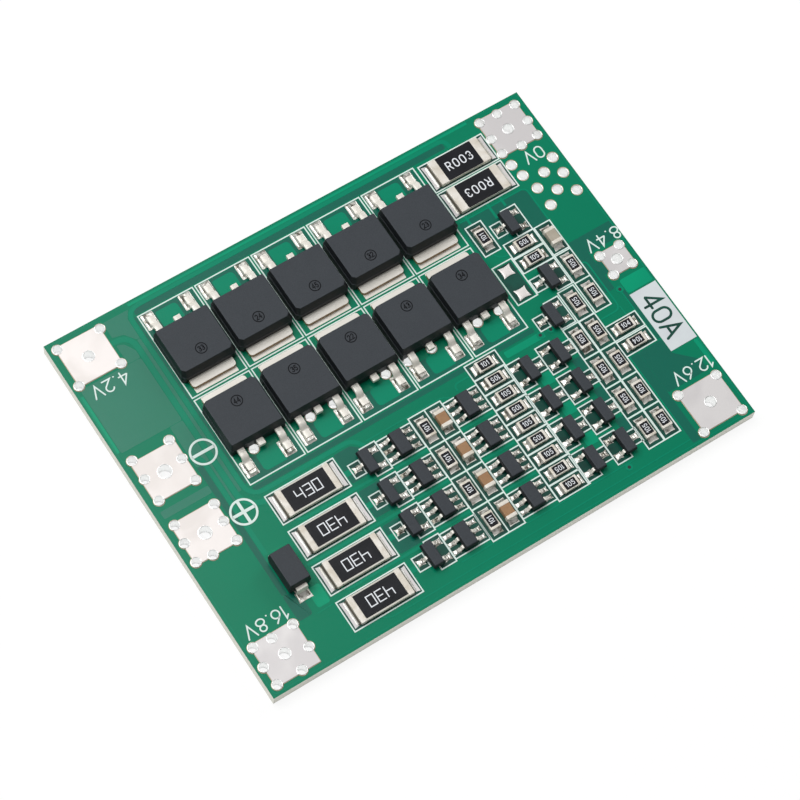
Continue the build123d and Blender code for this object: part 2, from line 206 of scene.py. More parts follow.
def plate(outline, low=SEAT, high=LAND_TOP, edge=0.0):
    """Flat plate over an outline, with its top edge broken by a slope."""
    if edge == 0.0:
        return stacked((outline, outline), (low, high))
    return stacked((outline, outline, inset(outline, edge)), (low, high - edge, high))


def mould(low, high, corner, profile, steps=4):
    """Skin over a box, from pairs of how far the outline lies in from it and at what height."""
    centre, half = flat(low, high)
    shrinks, heights = zip(*profile)
    return stacked([rounded_box(centre, half - shrink, corner, steps) for shrink in shrinks], heights)


def block(low, high, corner, edge):
    """Upright block between two corners. Its edges are quarter circles: at angle a the outline is in
    by edge (1 - cos a) and edge (1 - sin a) from the top."""
    centre, half = flat(low, high)
    turn = np.linspace(0, math.pi / 2, 4)
    inward = edge * (1 - np.cos(np.concatenate((turn[::-1], turn))))
    rise = edge * (1 - np.sin(turn))
    heights = np.concatenate((low[2] + rise[::-1], high[2] - rise))
    return stacked([rounded_box(centre, half - d, max(corner - d * 0.5, 0.02)) for d in inward], heights)


def carry(path, profile, fixed, closed=False, scale=1.0):
    """Profile carried along a path: its first coordinate runs along the fixed direction, its second
    along the path's tangent crossed with it, stretched at bends by one over the cosine of half the turn.
    The scale narrows the second coordinate from point to point."""
    steps = np.roll(path, -1, axis=0) - path if closed else np.diff(path, axis=0)
    unit = steps / np.maximum(np.linalg.norm(steps, axis=1, keepdims=True), 1e-9)
    before = np.roll(unit, 1, axis=0) if closed else np.concatenate((unit[:1], unit))
    after = unit if closed else np.concatenate((unit, unit[-1:]))
    across_after = np.cross(after, fixed)
    across = np.cross(before, fixed) + across_after
    across = across / np.maximum(np.linalg.norm(across, axis=1, keepdims=True), 1e-9)
    stretch = scale / np.maximum((across * across_after).sum(axis=1), 0.3)
    profile = np.asarray(profile, dtype=float)
    return skin(path[:, None] + profile[:, :1] * fixed
                + profile[:, 1:] * (across * stretch[:, None])[:, None], closed)


def strip(path, width, low, high, closed=False, scale=1.0):
    """Flat line of the given width laid along a path on the board."""
    profile = ((0, -width / 2), (high - low, -width / 2), (high - low, width / 2), (0, width / 2))
    route = np.concatenate((path, np.full((len(path), 1), low)), axis=1)
    return carry(route, profile, np.array((0, 0, 1)), closed, scale)


def round_ended(path, width, low, high):
    """Flat line with half-round ends: past each end the width shrinks as the sine of the angle whose
    cosine is the distance over half the width."""
    if np.linalg.norm(path[0] - path[-1]) < 1e-6:
        return strip(path[:-1], width, low, high, closed=True)
    turn = np.radians((12, 40, 65))
    ends = []
    for tip, inner in ((path[0], path[1]), (path[-1], path[-2])):
        out = (tip - inner) / np.linalg.norm(tip - inner)
        ends.append(tip + out * (np.cos(turn) * width / 2)[:, None])
    route = np.concatenate((ends[0], path, ends[1][::-1]))
    scale = np.concatenate((np.sin(turn), np.ones(len(path)), np.sin(turn[::-1])))
    return strip(route, width, low, high, scale=scale)


def turned(profile, centre, steps=28):
    """Loop of radius and height turned about an upright axis through the centre."""
    angle = np.arange(steps) * 2 * math.pi / steps
    x = centre[0] + profile[:, :1] * np.cos(angle)
    y = centre[1] + profile[:, :1] * np.sin(angle)
    return skin(np.stack((x, y, np.broadcast_to(profile[:, 1:], x.shape)), axis=2), closed=True)


def meniscus(foot, land, rise):
    """Solder drawn up round a foot: outlines run from the land to the foot, and the height over the
    land is the rise times the 2.2nd power of the share of the way."""
    s = np.linspace(0, 1, 6)
    heights = LAND_TOP + (TOP + rise - LAND_TOP) * s ** 2.2
    outlines = [land] + [land + (foot - land) * share for share in s]
    return stacked(outlines, np.concatenate(((LAND_TOP - 0.02,), heights)))


def bent_lead(box, way, axis, back, along, bend, heights, profile):
    """Lead that runs along an axis: out of its body, down along half a cosine wave between two
    distances, and flat on its foot. Its profile is carried along the lead's middle line."""
    drop = np.clip((along - bend[0]) / (bend[1] - bend[0]), 0, 1)
    path = np.empty((len(along), 3))
    path[:, axis] = side(*box, axis, -way) - way * back + way * along
    path[:, 1 - axis] = flat(*box)[0][1 - axis]
    path[:, 2] = heights[0] + (heights[1] - heights[0]) * (1 - np.cos(drop * math.pi)) / 2
    return carry(path, profile, np.eye(3)[1 - axis])


def add_piece(name, shapes, finish, replaces=()):
    """Make one object of the shapes, facing outwards and smooth up to an angle, and set it on the part."""
    faces = []
    start = 0
    for points, shape_faces in shapes:
        faces += [[corner + start for corner in face] for face in shape_faces]
        start += len(points)
    mesh = bpy.data.meshes.new(name)
    mesh.from_pydata((np.concatenate([points for points, _ in shapes]) * MM).tolist(), [], faces)
    work = bmesh.new()
    work.from_mesh(mesh)
    bmesh.ops.recalc_face_normals(work, faces=work.faces)
    work.to_mesh(mesh)
    work.free()
    mesh.materials.append(materials()[finish])
    mesh.shade_smooth()
    mesh.set_sharp_from_angle(angle=SMOOTH_ANGLE)
    piece = bpy.data.objects.new(name, mesh)
    bpy.context.scene.collection.objects.link(piece)
    piece.modifiers.new("broad faces", "WEIGHTED_NORMAL").keep_sharp = True
    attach(piece, "root")
    if replaces:
        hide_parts(*replaces)


def dress(node, finish):
    """Give a carried node its finish."""
    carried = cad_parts[node]
    carried.data.materials.clear()
    carried.data.materials.append(materials()[finish])


# Materials

def add_node(tree, kind, values=(), **settings):
    """Add a shader node with its settings, and a link or a plain value for each input that is given."""
    node = tree.nodes.new("ShaderNode" + kind)
    for name, setting in settings.items():
        setattr(node, name, setting)
    for label, value in dict(values).items():
        if isinstance(value, bpy.types.NodeSocket):
            tree.links.new(value, node.inputs[label])
        else:
            node.inputs[label].default_value = value
    return node


def mix_colour(tree, factor, first, second, blend="MIX"):
    """Blend two colours, each a socket or a plain colour, by a factor of the same kind."""
    values = {0: factor, 6: first, 7: second}
    return add_node(tree, "Mix", values, data_type="RGBA", blend_type=blend).outputs[2]


def new_group(name, inputs):
    """Start a shader node group with the given named inputs."""
    group = bpy.data.node_groups.new(name, "ShaderNodeTree")
    for label, kind, value in inputs:
        socket = group.interface.new_socket(label, in_out="INPUT", socket_type=kind)
        socket.default_value = value
    return group, group.nodes.new("NodeGroupInput").outputs


def end_group(group, results):
    """Name what a group puts out."""
    for label in results:
        kind = "NodeSocketColor" if label == "Colour" else "NodeSocketFloat"
        group.interface.new_socket(label, in_out="OUTPUT", socket_type=kind)
    outside = group.nodes.new("NodeGroupOutput")
    for label, socket in results.items():
        group.links.new(socket, outside.inputs[label])


def mottle_group():
    """Colour, mask and height of a surface with broad clouds and fine grain, each from noise."""
    grey = (0.5, 0.5, 0.5, 1)
    group, given = new_group("Mottle", (
        ("Colour", "NodeSocketColor", grey), ("Cloud colour", "NodeSocketColor", grey),
        ("Cloud scale", "NodeSocketFloat", 100.0), ("Cloud amount", "NodeSocketFloat", 0.5),
        ("Grain scale", "NodeSocketFloat", 8000.0), ("Grain amount", "NodeSocketFloat", 0.1)))
    place = add_node(group, "TexCoord").outputs["Object"]
    clouds, grains = [
        add_node(group, "TexNoise", {"Vector": place, "Scale": given[label], "Detail": 3.0}).outputs
        for label in ("Cloud scale", "Grain scale")]
    spread = add_node(group, "MapRange", {"Value": clouds["Fac"], "From Min": 0.35, "From Max": 0.65})
    share = add_node(group, "Math", {0: spread.outputs["Result"], 1: given["Cloud amount"]},
                     operation="MULTIPLY").outputs[0]
    clouded = mix_colour(group, share, given["Colour"], given["Cloud colour"])
    grained = mix_colour(group, given["Grain amount"], clouded, grains["Color"], "OVERLAY")
    colour = mix_colour(group, 1.0, grained, clouded, "COLOR")
    end_group(group, {"Colour": colour, "Mask": share, "Height": grains["Fac"]})


def flow_group():
    """Mask and height of metal that has flowed and set: noise drawn out along one axis."""
    group, given = new_group("Set solder", (
        ("Scale", "NodeSocketFloat", 900.0), ("Stretch", "NodeSocketVector", (1.0, 1.0, 1.0)),
        ("Low", "NodeSocketFloat", 0.35), ("High", "NodeSocketFloat", 0.65)))
    place = add_node(group, "TexCoord").outputs["Object"]
    drawn = add_node(group, "VectorMath", {0: place, 1: given["Stretch"]}, operation="MULTIPLY").outputs[0]
    noise = add_node(group, "TexNoise", {"Vector": drawn, "Scale": given["Scale"], "Detail": 2.5,
                                         "Distortion": 0.4}).outputs["Fac"]
    ends = {"Value": noise, "From Min": given["Low"], "From Max": given["High"]}
    end_group(group, {"Mask": add_node(group, "MapRange", ends).outputs["Result"], "Height": noise})


def colour_of(name):
    """A chosen colour with full alpha."""
    return (*getattr(bpy.context.scene.board_colours, name), 1)


def new_material(name, group, values, plain, bump, distance, colours=()):
    """Material with plain values on its Principled shader, and a shader group for the bump and the
    colour, or for the mask between two colours."""
    material = bpy.data.materials.new(name)
    material.use_nodes = True
    tree = material.node_tree
    inputs = tree.nodes["Principled BSDF"].inputs
    for label, value in zip(("Roughness", "Metallic", "Specular IOR Level"), plain):
        inputs[label].default_value = value
    made = add_node(tree, "Group", values, node_tree=bpy.data.node_groups[group]).outputs
    colour = mix_colour(tree, made["Mask"], *colours) if colours else made["Colour"]
    tree.links.new(colour, inputs["Base Color"])
    normal = add_node(tree, "Bump", {"Height": made["Height"], "Strength": bump, "Distance": distance})
    tree.links.new(normal.outputs["Normal"], inputs["Normal"])


def mottled(name, colour, cloud, roughness, cloud_scale, cloud_amount=0.5, grain_scale=9000.0,
            grain_amount=0.1, bump=0.1, sheen=0.5):
    """Painted, moulded or fired surface with clouds of a second colour and fine grain."""
    values = {"Colour": colour_of(colour), "Cloud colour": colour_of(cloud), "Cloud scale": cloud_scale,
              "Cloud amount": cloud_amount, "Grain scale": grain_scale, "Grain amount": grain_amount}
    new_material(name, "Mottle", values, (roughness, 0.0, sheen), bump, 0.00003)


def soldered(name, bright, dull, roughness, scale, metallic, bump, low=0.35, high=0.65,
             stretch=(1.0, 1.0, 1.0)):
    """Tinned or soldered metal whose colour follows how it flowed."""
    values = {"Scale": scale, "Stretch": stretch, "Low": low, "High": high}
    colours = (colour_of(dull), colour_of(bright))
    new_material(name, "Set solder", values, (roughness, metallic, 0.5), bump, 0.00008, colours)


def colour_sides(name, limit, colour):
    """Second colour where a finish stands steep, by the upward part of the object's own normal."""
    tree = bpy.data.materials[name].node_tree
    normal = add_node(tree, "TexCoord").outputs["Normal"]
    upward = add_node(tree, "SeparateXYZ", {0: normal}).outputs["Z"]
    size = add_node(tree, "Math", {0: upward}, operation="ABSOLUTE").outputs[0]
    steep = add_node(tree, "Math", {0: size, 1: limit}, operation="LESS_THAN").outputs[0]
    base = tree.nodes["Principled BSDF"].inputs["Base Color"]
    tree.links.new(mix_colour(tree, steep, base.links[0].from_socket, colour), base)


def laminate(tree):
    """Colour of the sawn edge: glass cloth in layers in pale resin."""
    place = add_node(tree, "TexCoord").outputs["Object"]
    layers = add_node(tree, "TexWave", {"Vector": place, "Scale": 900.0, "Distortion": 1.5},
                      bands_direction="Z")
    return mix_colour(tree, layers.outputs["Fac"], colour_of("laminate"), colour_of("laminate_dark"))


# Name, colour, cloud colour, roughness and cloud scale, then as many of the cloud's amount, the grain's
# scale and amount, the bump and the sheen as leave their usual values
MOTTLED = (
    ("board_mask", "mask", "mask_cloud", 0.26, 55, 0.55, 6000, 0.05, 0.05, 0.2),
    ("track_mask", "track", "mask", 0.26, 80, 0.3, 6000, 0.05, 0.05, 0.2),
    ("gap_mask", "gap", "gap_cloud", 0.3, 60, 0.5, 5000, 0.05, 0.08, 0.32),
    ("pale_gap_mask", "pale_gap", "mask_cloud", 0.3, 70, 0.6, 5000, 0.05, 0.08, 0.4),
    ("bright_mask", "bright", "track", 0.26, 90, 0.5, 6000, 0.05, 0.05, 0.2),
    ("shaded_pocket_mask", "shaded_pocket", "gap", 0.3, 500, 0.4, 6000, 0.05, 0.08, 0.4),
    ("dark_via", "via", "shaded_pocket", 0.4, 900, 0.5, 9000, 0.1, 0.05),
    ("silk_ink", "ink", "ink_thin", 0.6, 900, 0.4, 9000, 0.06, 0.2),
    ("field_ink", "field_ink", "ink", 0.5, 300, 0.3, 9000, 0.04),
    ("rim_resin", "rim", "laminate_dark", 0.45, 700),
    ("body_mould", "mould", "mould_cloud", 0.52, 500, 0.35, 9000, 0.3, 0.2, 0.3),
    ("mould_mark_and_ring_shade", "mark", "mark_cloud", 0.55, 1500, 0.5, 9000, 0.1, 0.1, 0.1),
    ("coat", "coat", "coat_cloud", 0.3, 600, 0.6, 7000, 0.2, 0.2, 0.2),
    ("ceramic", "ceramic", "ceramic_dark", 0.5, 800, 0.5, 9000, 0.1, 0.2),
    ("code_ink", "code", "code", 0.6, 900),
    ("grey_dielectric", "grey_capacitor", "ceramic_dark", 0.4, 700, 0.3, 9000, 0.15, 0.2),
    ("brown_dielectric", "dielectric", "dielectric_dark", 0.38, 700, 0.5, 9000, 0.15, 0.2),
)

# Name, bright colour, dull colour, roughness, scale, metallic and bump, then the noise's low and high
# end and its stretch where they leave their usual values
SOLDERED = (
    ("glare_pad_tin", "glare_pad_tin", "glare_pad_tin_dull", 0.45, 200, 0.35, 0.05, 0.42, 0.58),
    ("grey_pad_tin", "grey_pad", "grey_pad_dull", 0.45, 200, 0.35, 0.05, 0.42, 0.58),
    ("barrel_tin", "barrel", "grey_pad", 0.28, 600, 0.9, 0, 0.2, 0.4),
    ("tinned_lead", "tin", "tin_dull", 0.36, 900, 0.1, 0.1, 0.35, 0.65, (1, 0.5, 1)),
    ("tab_tin", "tin", "tin_dull", 0.33, 700, 0.1, 0.06, 0.35, 0.65, (0.3, 1.5, 1)),
    ("solder", "solder", "solder_fleck_and_side_shade", 0.24, 1500, 0.6, 0.45, 0.36, 0.54),
    ("calm_solder", "calm_solder", "land_dull", 0.32, 450, 0.4, 0.2, 0.3, 0.56, (1.6, 0.5, 1)),
    ("land_solder", "solder", "land_dull", 0.3, 1100, 0.45, 0.3, 0.36, 0.5, (1.2, 0.9, 1)),
    ("cap_tin", "cap_tin", "cap_dull", 0.42, 800, 0.15, 0.15),
)

# Where a finish changes on its steep sides: the limit of the normal's upward part, and the colour. The
# darker steep sides of the moulds and of the solder are painted shade; the tab's copper sides are its cut
# metal.
STEEP = (("solder", 0.42, "solder_fleck_and_side_shade"), ("calm_solder", 0.82, "solder_fleck_and_side_shade"),
         ("body_mould", 0.6, "mould_side_shade"), ("tab_tin", 0.45, "copper"))


def materials():
    """Make every finish once, by name."""
    finishes = bpy.data.materials
    if not finishes.get("board_mask"):
        mottle_group()
        flow_group()
        for row in MOTTLED:
            mottled(*row)
        for row in SOLDERED:
            soldered(*row)
        for name, limit, colour in STEEP:
            colour_sides(name, limit, colour_of(colour))
        colour_sides("board_mask", 0.5, laminate(finishes["board_mask"].node_tree))
    return finishes


# What a user may change

def shade(name, description, *default):
    """Property for a colour."""
    return bpy.props.FloatVectorProperty(name=name, description=description, subtype="COLOR", size=3,
                                         min=0.0, max=1.0, default=default)


def length(name, description, default):
    """Property for a length that is given in mm."""
    return bpy.props.FloatProperty(name=name, description=description, default=default * MM, min=0.0,
                                   unit="LENGTH", precision=5)


class BoardColours(bpy.types.PropertyGroup):
    """Colours of the board, its print, the parts and the metal."""
    mask: shade("Mask", "Green mask over the copper pours", 0.0, 0.225, 0.118)
    mask_cloud: shade("Mask cloud", "Second green of the mask", 0.0, 0.195, 0.104)
    track: shade("Track", "Mask over the raised tracks", 0.0, 0.262, 0.146)
    gap: shade("Gap", "Mask over bare board between the pours", 0.0, 0.13, 0.085)
    gap_cloud: shade("Gap cloud", "Second green of the bare board", 0.0, 0.145, 0.096)
    pale_gap: shade("Pale gap", "Mask over the broad bare stretch on the left", 0.012, 0.2, 0.128)
    bright: shade("Bright", "Mask over the pours along the edges", 0.0, 0.35, 0.18)
    # Bare board round the small parts, darkened further as painted shade
    shaded_pocket: shade("Pocket", "Mask over the bare board round the small parts", 0.002, 0.046, 0.034)
    via: shade("Via", "Dot of a covered via", 0.004, 0.02, 0.018)
    laminate: shade("Laminate", "Resin of the sawn edge", 0.84, 0.85, 0.76)
    laminate_dark: shade("Laminate dark", "Glass layers of the sawn edge", 0.7, 0.68, 0.54)
    rim: shade("Rim", "Bare ring round pads and holes", 0.5, 0.37, 0.24)
    ink: shade("Ink", "White print", 0.8, 0.93, 0.885)
    field_ink: shade("Field ink", "White field behind the rating", 0.68, 0.71, 0.75)
    ink_thin: shade("Thin ink", "White print where the green shows through", 0.72, 0.84, 0.79)
    # Painted highlight: the left wire pads' tin is lighter and pinker with glare than the grey tin of the
    # right pads
    glare_pad_tin: shade("Pad tin", "Tinned wire pad", 0.86, 0.81, 0.785)
    glare_pad_tin_dull: shade("Pad tin dull", "Tinned wire pad where it is dull", 0.77, 0.72, 0.69)
    grey_pad: shade("Grey pad tin", "Tinned wire pad on the right", 0.75, 0.725, 0.72)
    grey_pad_dull: shade("Grey pad tin dull", "Right wire pad where it is dull", 0.66, 0.635, 0.635)
    barrel: shade("Barrel", "Bright lining of the holes", 0.97, 0.98, 0.97)
    tin: shade("Lead tin", "Tinned lead", 0.9, 0.87, 0.8)
    tin_dull: shade("Lead tin dull", "Tinned lead where it is dull", 0.84, 0.8, 0.72)
    solder: shade("Solder", "Bright solder", 0.84, 0.82, 0.765)
    calm_solder: shade("Calm solder", "Grey solder beside the wide resistors", 0.6, 0.6, 0.575)
    land_dull: shade("Land dull", "Dull flecks of a tinned land", 0.3, 0.28, 0.23)
    # Dark flecks in the solder, and painted shade on the steep sides of the solder fillets
    solder_fleck_and_side_shade: shade("Solder dark", "Folds in the solder", 0.17, 0.155, 0.12)
    cap_tin: shade("End cap", "Tinned end cap", 0.88, 0.84, 0.77)
    cap_dull: shade("End cap dull", "End cap where it is dull", 0.7, 0.64, 0.54)
    copper: shade("Cut copper", "Cut end of the heat tab", 0.42, 0.27, 0.14)
    mould: shade("Mould", "Moulded body", 0.038, 0.045, 0.054)
    mould_cloud: shade("Mould cloud", "Second grey of the moulded body", 0.044, 0.051, 0.06)
    # Painted shade: the steep sides of the moulded bodies are darkened with this colour
    mould_side_shade: shade("Mould side", "Moulded body on its steep sides", 0.014, 0.017, 0.02)
    # Dark marks of the mould, with painted shade: the ring is dark all round in place of the shade in its
    # shallow recess
    mark: shade("Mould mark", "Ring left by the mould", 0.006, 0.006, 0.008)
    mark_cloud: shade("Mould mark cloud", "Second grey of the mould's ring", 0.014, 0.016, 0.019)
    coat: shade("Coat", "Glaze over the resistor film", 0.011, 0.012, 0.015)
    coat_cloud: shade("Coat cloud", "Second grey of the glaze", 0.02, 0.02, 0.024)
    ceramic: shade("Ceramic", "Resistor ceramic", 0.72, 0.7, 0.63)
    ceramic_dark: shade("Ceramic dark", "Second white of the ceramic", 0.6, 0.56, 0.47)
    code: shade("Code", "Printed resistor codes", 0.86, 0.89, 0.93)
    dielectric: shade("Capacitor", "Capacitor ceramic", 0.37, 0.205, 0.095)
    dielectric_dark: shade("Capacitor dark", "Second brown of the capacitor", 0.3, 0.15, 0.062)
    grey_capacitor: shade("Grey capacitor", "Ceramic of the driver's capacitor", 0.4, 0.35, 0.27)


class PrintSizes(bpy.types.PropertyGroup):
    """Sizes of the white print, the tracks and the bare rings."""
    ink_width: length("Line", "Width of the box lines", 0.14)
    ink_height: length("Ink height", "How far the print stands off the board", 0.034)
    text_height: length("Text", "Height of the pad voltages", 1.38)
    text_stroke: length("Stroke", "Stroke width of the pad voltages", 0.16)
    track_height: length("Track height", "How far a covered track stands off the board", 0.022)
    rim_width: length("Rim", "Width of the bare ring round pads and vias", 0.07)


def size_of(name):
    """A chosen size in mm."""
    return getattr(bpy.context.scene.print_sizes, name) / MM


# Lettering: the width of each sign in a box one high, and its strokes, each of points or of points
# and arcs

SIGNS = {
    "0": (0.64, (*arc((0.32, 0.68), 0.32, 0, 180), *arc((0.32, 0.32), 0.32, 180, 360), (0.64, 0.68))),
    "1": (0.26, ((0.02, 0.78), (0.24, 1), (0.24, 0))),
    "2": (0.66, (*arc((0.32, 0.7), (0.31, 0.3), 160, -35), (0, 0), (0.66, 0))),
    "3": (0.62, (*arc((0.3, 0.74), (0.28, 0.26), 155, -80), *arc((0.3, 0.27), (0.32, 0.27), 80, -155))),
    "4": (0.68, ((0.48, 0), (0.48, 1), (0, 0.32)), ((0.02, 0.3), (0.68, 0.3))),
    "5": (0.62, ((0.58, 1), (0.08, 1), (0.05, 0.56), *arc((0.3, 0.32), (0.31, 0.32), 125, -150))),
    "6": (0.64, ((0.52, 1), *arc((0.32, 0.32), 0.32, 140, 470, 18))),
    "8": (0.66, arc((0.33, 0.76), (0.26, 0.24), 0, 360, 16), arc((0.33, 0.26), (0.33, 0.26), 0, 360, 16)),
    "A": (0.72, ((0, 0), (0.36, 1), (0.72, 0)), ((0.13, 0.34), (0.59, 0.34))),
    "R": (0.64, ((0, 0), (0, 1)),
          ((0.02, 1), (0.3, 1), *arc((0.34, 0.74), (0.26, 0.26), 80, -80), (0.02, 0.48)),
          ((0.32, 0.48), (0.62, 0))),
    "V": (0.76, ((0, 1), (0.38, 0), (0.76, 1))),
    ".": (0.12, ((0.05, 0.03), (0.07, 0.03))),
}
SQUARE_SIGNS = {
    "0": (0.58, ((0, 0), (0.58, 0), (0.58, 1), (0, 1), (0, 0))),
    "3": (0.58, ((0, 1), (0.58, 1), (0.58, 0), (0, 0)), ((0.08, 0.52), (0.58, 0.52))),
    "4": (0.58, ((0, 1), (0, 0.46), (0.56, 0.46)), ((0.58, 1), (0.58, 0))),
}


def lettering(words, centre, height, stroke, turn, low, high, gap, widen=1.0, signs=SIGNS):
    """Flat strokes of some words centred on a place and turned by degrees."""
    strokes = []
    edge = 0.0
    for letter in words:
        width, *lines = signs[letter]
        strokes += [np.array(points) * (widen, 1) + (edge, 0) for points in lines]
        edge += width * widen + gap
    angle = math.radians(turn)
    spin = np.array(((math.cos(angle), math.sin(angle)), (-math.sin(angle), math.cos(angle))))
    set_out = [((points - ((edge - gap) / 2, 0.5)) * height) @ spin + centre for points in strokes]
    return [round_ended(points, stroke, low, high + LAYER * order) for order, points in enumerate(set_out)]


# Where the parts stand

def chip_places(kind):
    """Each small chip's outer box, axis and end caps, from its block and the end caps nearest to it."""
    ends = islands(f"{kind}_end_caps")
    centres = np.array([(low + high) / 2 for low, high in ends])
    chips = []
    for low, high in islands(f"{kind}_bodies"):
        away = centres - (low + high) / 2
        near = np.argsort(np.linalg.norm(away, axis=1))[:2]
        caps = np.array([ends[k] for k in near])
        axis = 0 if abs(away[near[0], 0]) > 0.3 else 1
        chips.append((caps[:, 0].min(axis=0), caps[:, 1].max(axis=0), axis, caps))
    return chips


def small_chips():
    """The small chip resistors, then the small chip capacitors."""
    return chip_places("chip_resistor") + chip_places("chip_capacitor")


def small_transistors():
    """Each small transistor's body box, and the side of its single lead as -1 or 1."""
    leads = [flat(*box)[0] for box in islands("small_transistor_leads")]
    found = []
    for low, high in [box for node in TRANSISTORS for box in islands(node)]:
        centre = flat(low, high)[0]
        balance = sum(np.sign((lead - centre)[0]) for lead in leads if np.abs(lead - centre).max() < 1.7)
        found.append((low, high, -1 if balance > 0 else 1))
    return found


def monitor_boxes():
    """Body boxes of the monitor chips."""
    return [box for node in MONITORS for box in islands(node)]


def power_rows():
    """Each power transistor's node, the centre of its body and the way that its leads point."""
    rows = []
    for number in range(1, POWER_COUNT + 1):
        node = f"power_transistor_{number}"
        body = flat_box(f"{node}_body")[0]
        rows.append((node, body, 1 if flat_box(f"{node}_leads")[0][1] > body[1] else -1))
    return rows


def wide_chips():
    """Name and box of each wide resistor, with the boxes of its end caps."""
    caps = islands("shunt_end_caps") + islands("bleed_resistor_end_caps")
    found = []
    for name in ("shunt_1", "shunt_2", *(f"bleed_resistor_{k}" for k in range(1, 5))):
        low, high = node_box(f"{name}_body")
        centre = flat(low, high)[0]
        own = [cap for cap in caps if (np.abs(flat(*cap)[0] - centre) < (4, 0.5)).all()]
        found.append((name, low, high, own))
    return found


# The board, its tracks and its holes

# Corner cut in mm, then x and y from the front left corner: of two opposite corners of a box, or of
# every corner
PALE_FIELDS = (
    (0.3, 0.7, 30.45, 7.98, 38.7),
    (0.2, 6.5, 38.75, 7.98, 38.75, 7.98, 39.7, 7.3, 40.9, 6.5, 41.2),
    (0.15, 6.6, 42.15, 7.8, 41.9, 8.72, 40.7, 9.08, 40.7, 9.1, 43.2, 9.7, 44.15, 6.6, 44.15),
    (0.1, 8.72, 20.6, 9.08, 40.65),
    (0.2, 6.45, 25.1, 7.98, 30.4),
    (0.08, 7.74, 20, 7.98, 25.05),
    (0.2, 0.7, 21.95, 6.4, 22.85),
)
BARE_FIELDS = (
    (0.08, 9.74, 21, 9.97, 43),
    (0.25, 10, 43.12, 49.3, 43.12, 49.3, 43.85, 10.2, 43.85),
    (0.15, 10.3, 19.78, 45.2, 19.78, 45.2, 20.36, 10.1, 20.36),
    (0.1, 6.45, 8.7, 7.1, 25.05),
    (0.35, 6.45, 5.5, 8.15, 5.5, 8.15, 8.2, 7.1, 8.65, 6.45, 8.65),
    (0.2, 19.15, 15.25, 22, 15.25, 22, 18.3, 21.2, 18.95, 19.15, 18.95),
    (0.3, 19.15, 10.8, 22, 14.2),
    (0.3, 19.15, 6.2, 22, 9.75),
    *((0.3, 46.6, y, 48, y + 2) for y in (13, 9, 5)),
    (0.2, 45.3, 29.9, 53.95, 29.9, 53.95, 34.2, 53.6, 34.55, 45.3, 34.55),
    (0.15, 54.25, 19.6, 55.5, 26.62),
    (0.15, 55.52, 24.5, 59.72, 26.62),
    (0.1, 55.52, 21.45, 56.15, 23.2),
    (0.1, 56, 12.3, 56.35, 19),
    (0.2, 52.25, 0.5, 53.3, 12.05),
    (0.3, 53.32, 6.6, 58.6, 6.6, 58.6, 8, 56.35, 10.2, 56.35, 12.05, 53.32, 12.05),
)
BRIGHT_POURS = (
    (0.1, 9.9, 44.42, 53, 44.8),
    (0.1, 0.2, 30.6, 0.62, 38),
    (0.1, 59.2, 6.9, 59.8, 10.2),
    (0.3, 56.4, 18.3, 59.7, 20.1),
    *((0.3, 42.45, y, 43.95, y + 1.4) for y in (13.9, 9.9, 5.9)),
    (0.2, 40.9, 18.68, 45.9, 19.5),
    (0.3, 8.9, 5.7, 10.4, 8),
)

# Width and corner cuts in mm, then x and y of each point of the track
TRACKS = (
    (0.62, (0, 1.9, 0.8, 0.7, 0), 6.1, 41.62, 8.36, 41.62, 8.36, 19.9, 9.3, 18.7, 10.6, 18.3),
    (0.5, (0, 0.9, 1.6, 1.8, 0.9, 0), 49.75, 42.9, 49.75, 44.12, 9.4, 44.12, 9.4, 19.42, 21.7, 19.42, 22.6,
     18.1),
    (0.52, 0.7, 6.2, 26.4, 7.42, 25.8, 7.42, 13.3),
    (0.34, 0.4, 12, 15.1, 12.8, 14.62, 22, 14.62),
    (0.34, 0, 10.4, 10.15, 22, 10.15),
    (0.34, 0.4, 12, 6.3, 12.8, 5.82, 22, 5.82),
    (0.2, 0.6, 34.3, 18.3, 34.3, 19.1, 36.2, 19.1),
    (0.14, 0.4, 22.9, 18.55, 32.4, 18.55, 33.3, 18),
    (0.2, (0, 0.5, 0.8, 0), 54.05, 23.9, 54.66, 23.9, 54.66, 17.3, 52.1, 17.3),
    (0.14, 0, 55.87, 18.9, 55.87, 12.2),
    (0.14, 0, 54.75, 16.4, 54.75, 17.6),
    (0.12, 0, 52.17, 12.1, 52.17, 2.4),
    (0.12, 0, 24, 2.2, 46, 2.2),
    (0.12, 0.5, 13.7, 1.6, 14.6, 1, 52.2, 1),
    (0.14, 0.7, 54.07, 26.8, 54.07, 34.65, 45.5, 34.65),
    (0.3, 0, 46.45, 35.2, 46.45, 33.9),
    (0.3, 0, 49.35, 35.2, 49.35, 33.1),
    (0.3, 0, 51, 35.2, 51, 33.9),
    (0.16, 0.4, 46.4, 29.8, 46.9, 29, 48, 28.7),
    (0.12, 0, 8.5, 5.3, 10.4, 5.3),
    (0.1, 0.4, 0.3, 44.9, 0.3, 0.3, 59.7, 0.3, 59.7, 44.75, 10, 44.75),
    *((0.26, 0, x, y, x + 4, y) for y in (6.38, 10.38, 14.38) for x in (23.9, 32.1)),
    *((0.66, 0, 18.95, 4.1 + 4.13 * k, 20, 4.1 + 4.13 * k) for k in range(4)),
)
COVERED_VIAS = ((45.45, 19.15), (46.8, 19.15), (55.9, 19.2), (44.85, 1.8), (30.1, 14.45))


def heap(name, outlines, rise, finish):
    """Plates over outlines, each a hair higher than the last, so that none share a plane."""
    tops = [TOP + rise + LAYER / 4 * (order % 8) for order in range(len(outlines))]
    add_piece(name, [plate(outline, SEAT, top) for outline, top in zip(outlines, tops)], finish)


def placed(rows):
    """Outlines of the rows of a table above."""
    return [softened(CORNER + (box_outline(*spots) if len(spots) == 4 else np.reshape(spots, (-1, 2))), cut)
            for cut, *spots in rows]


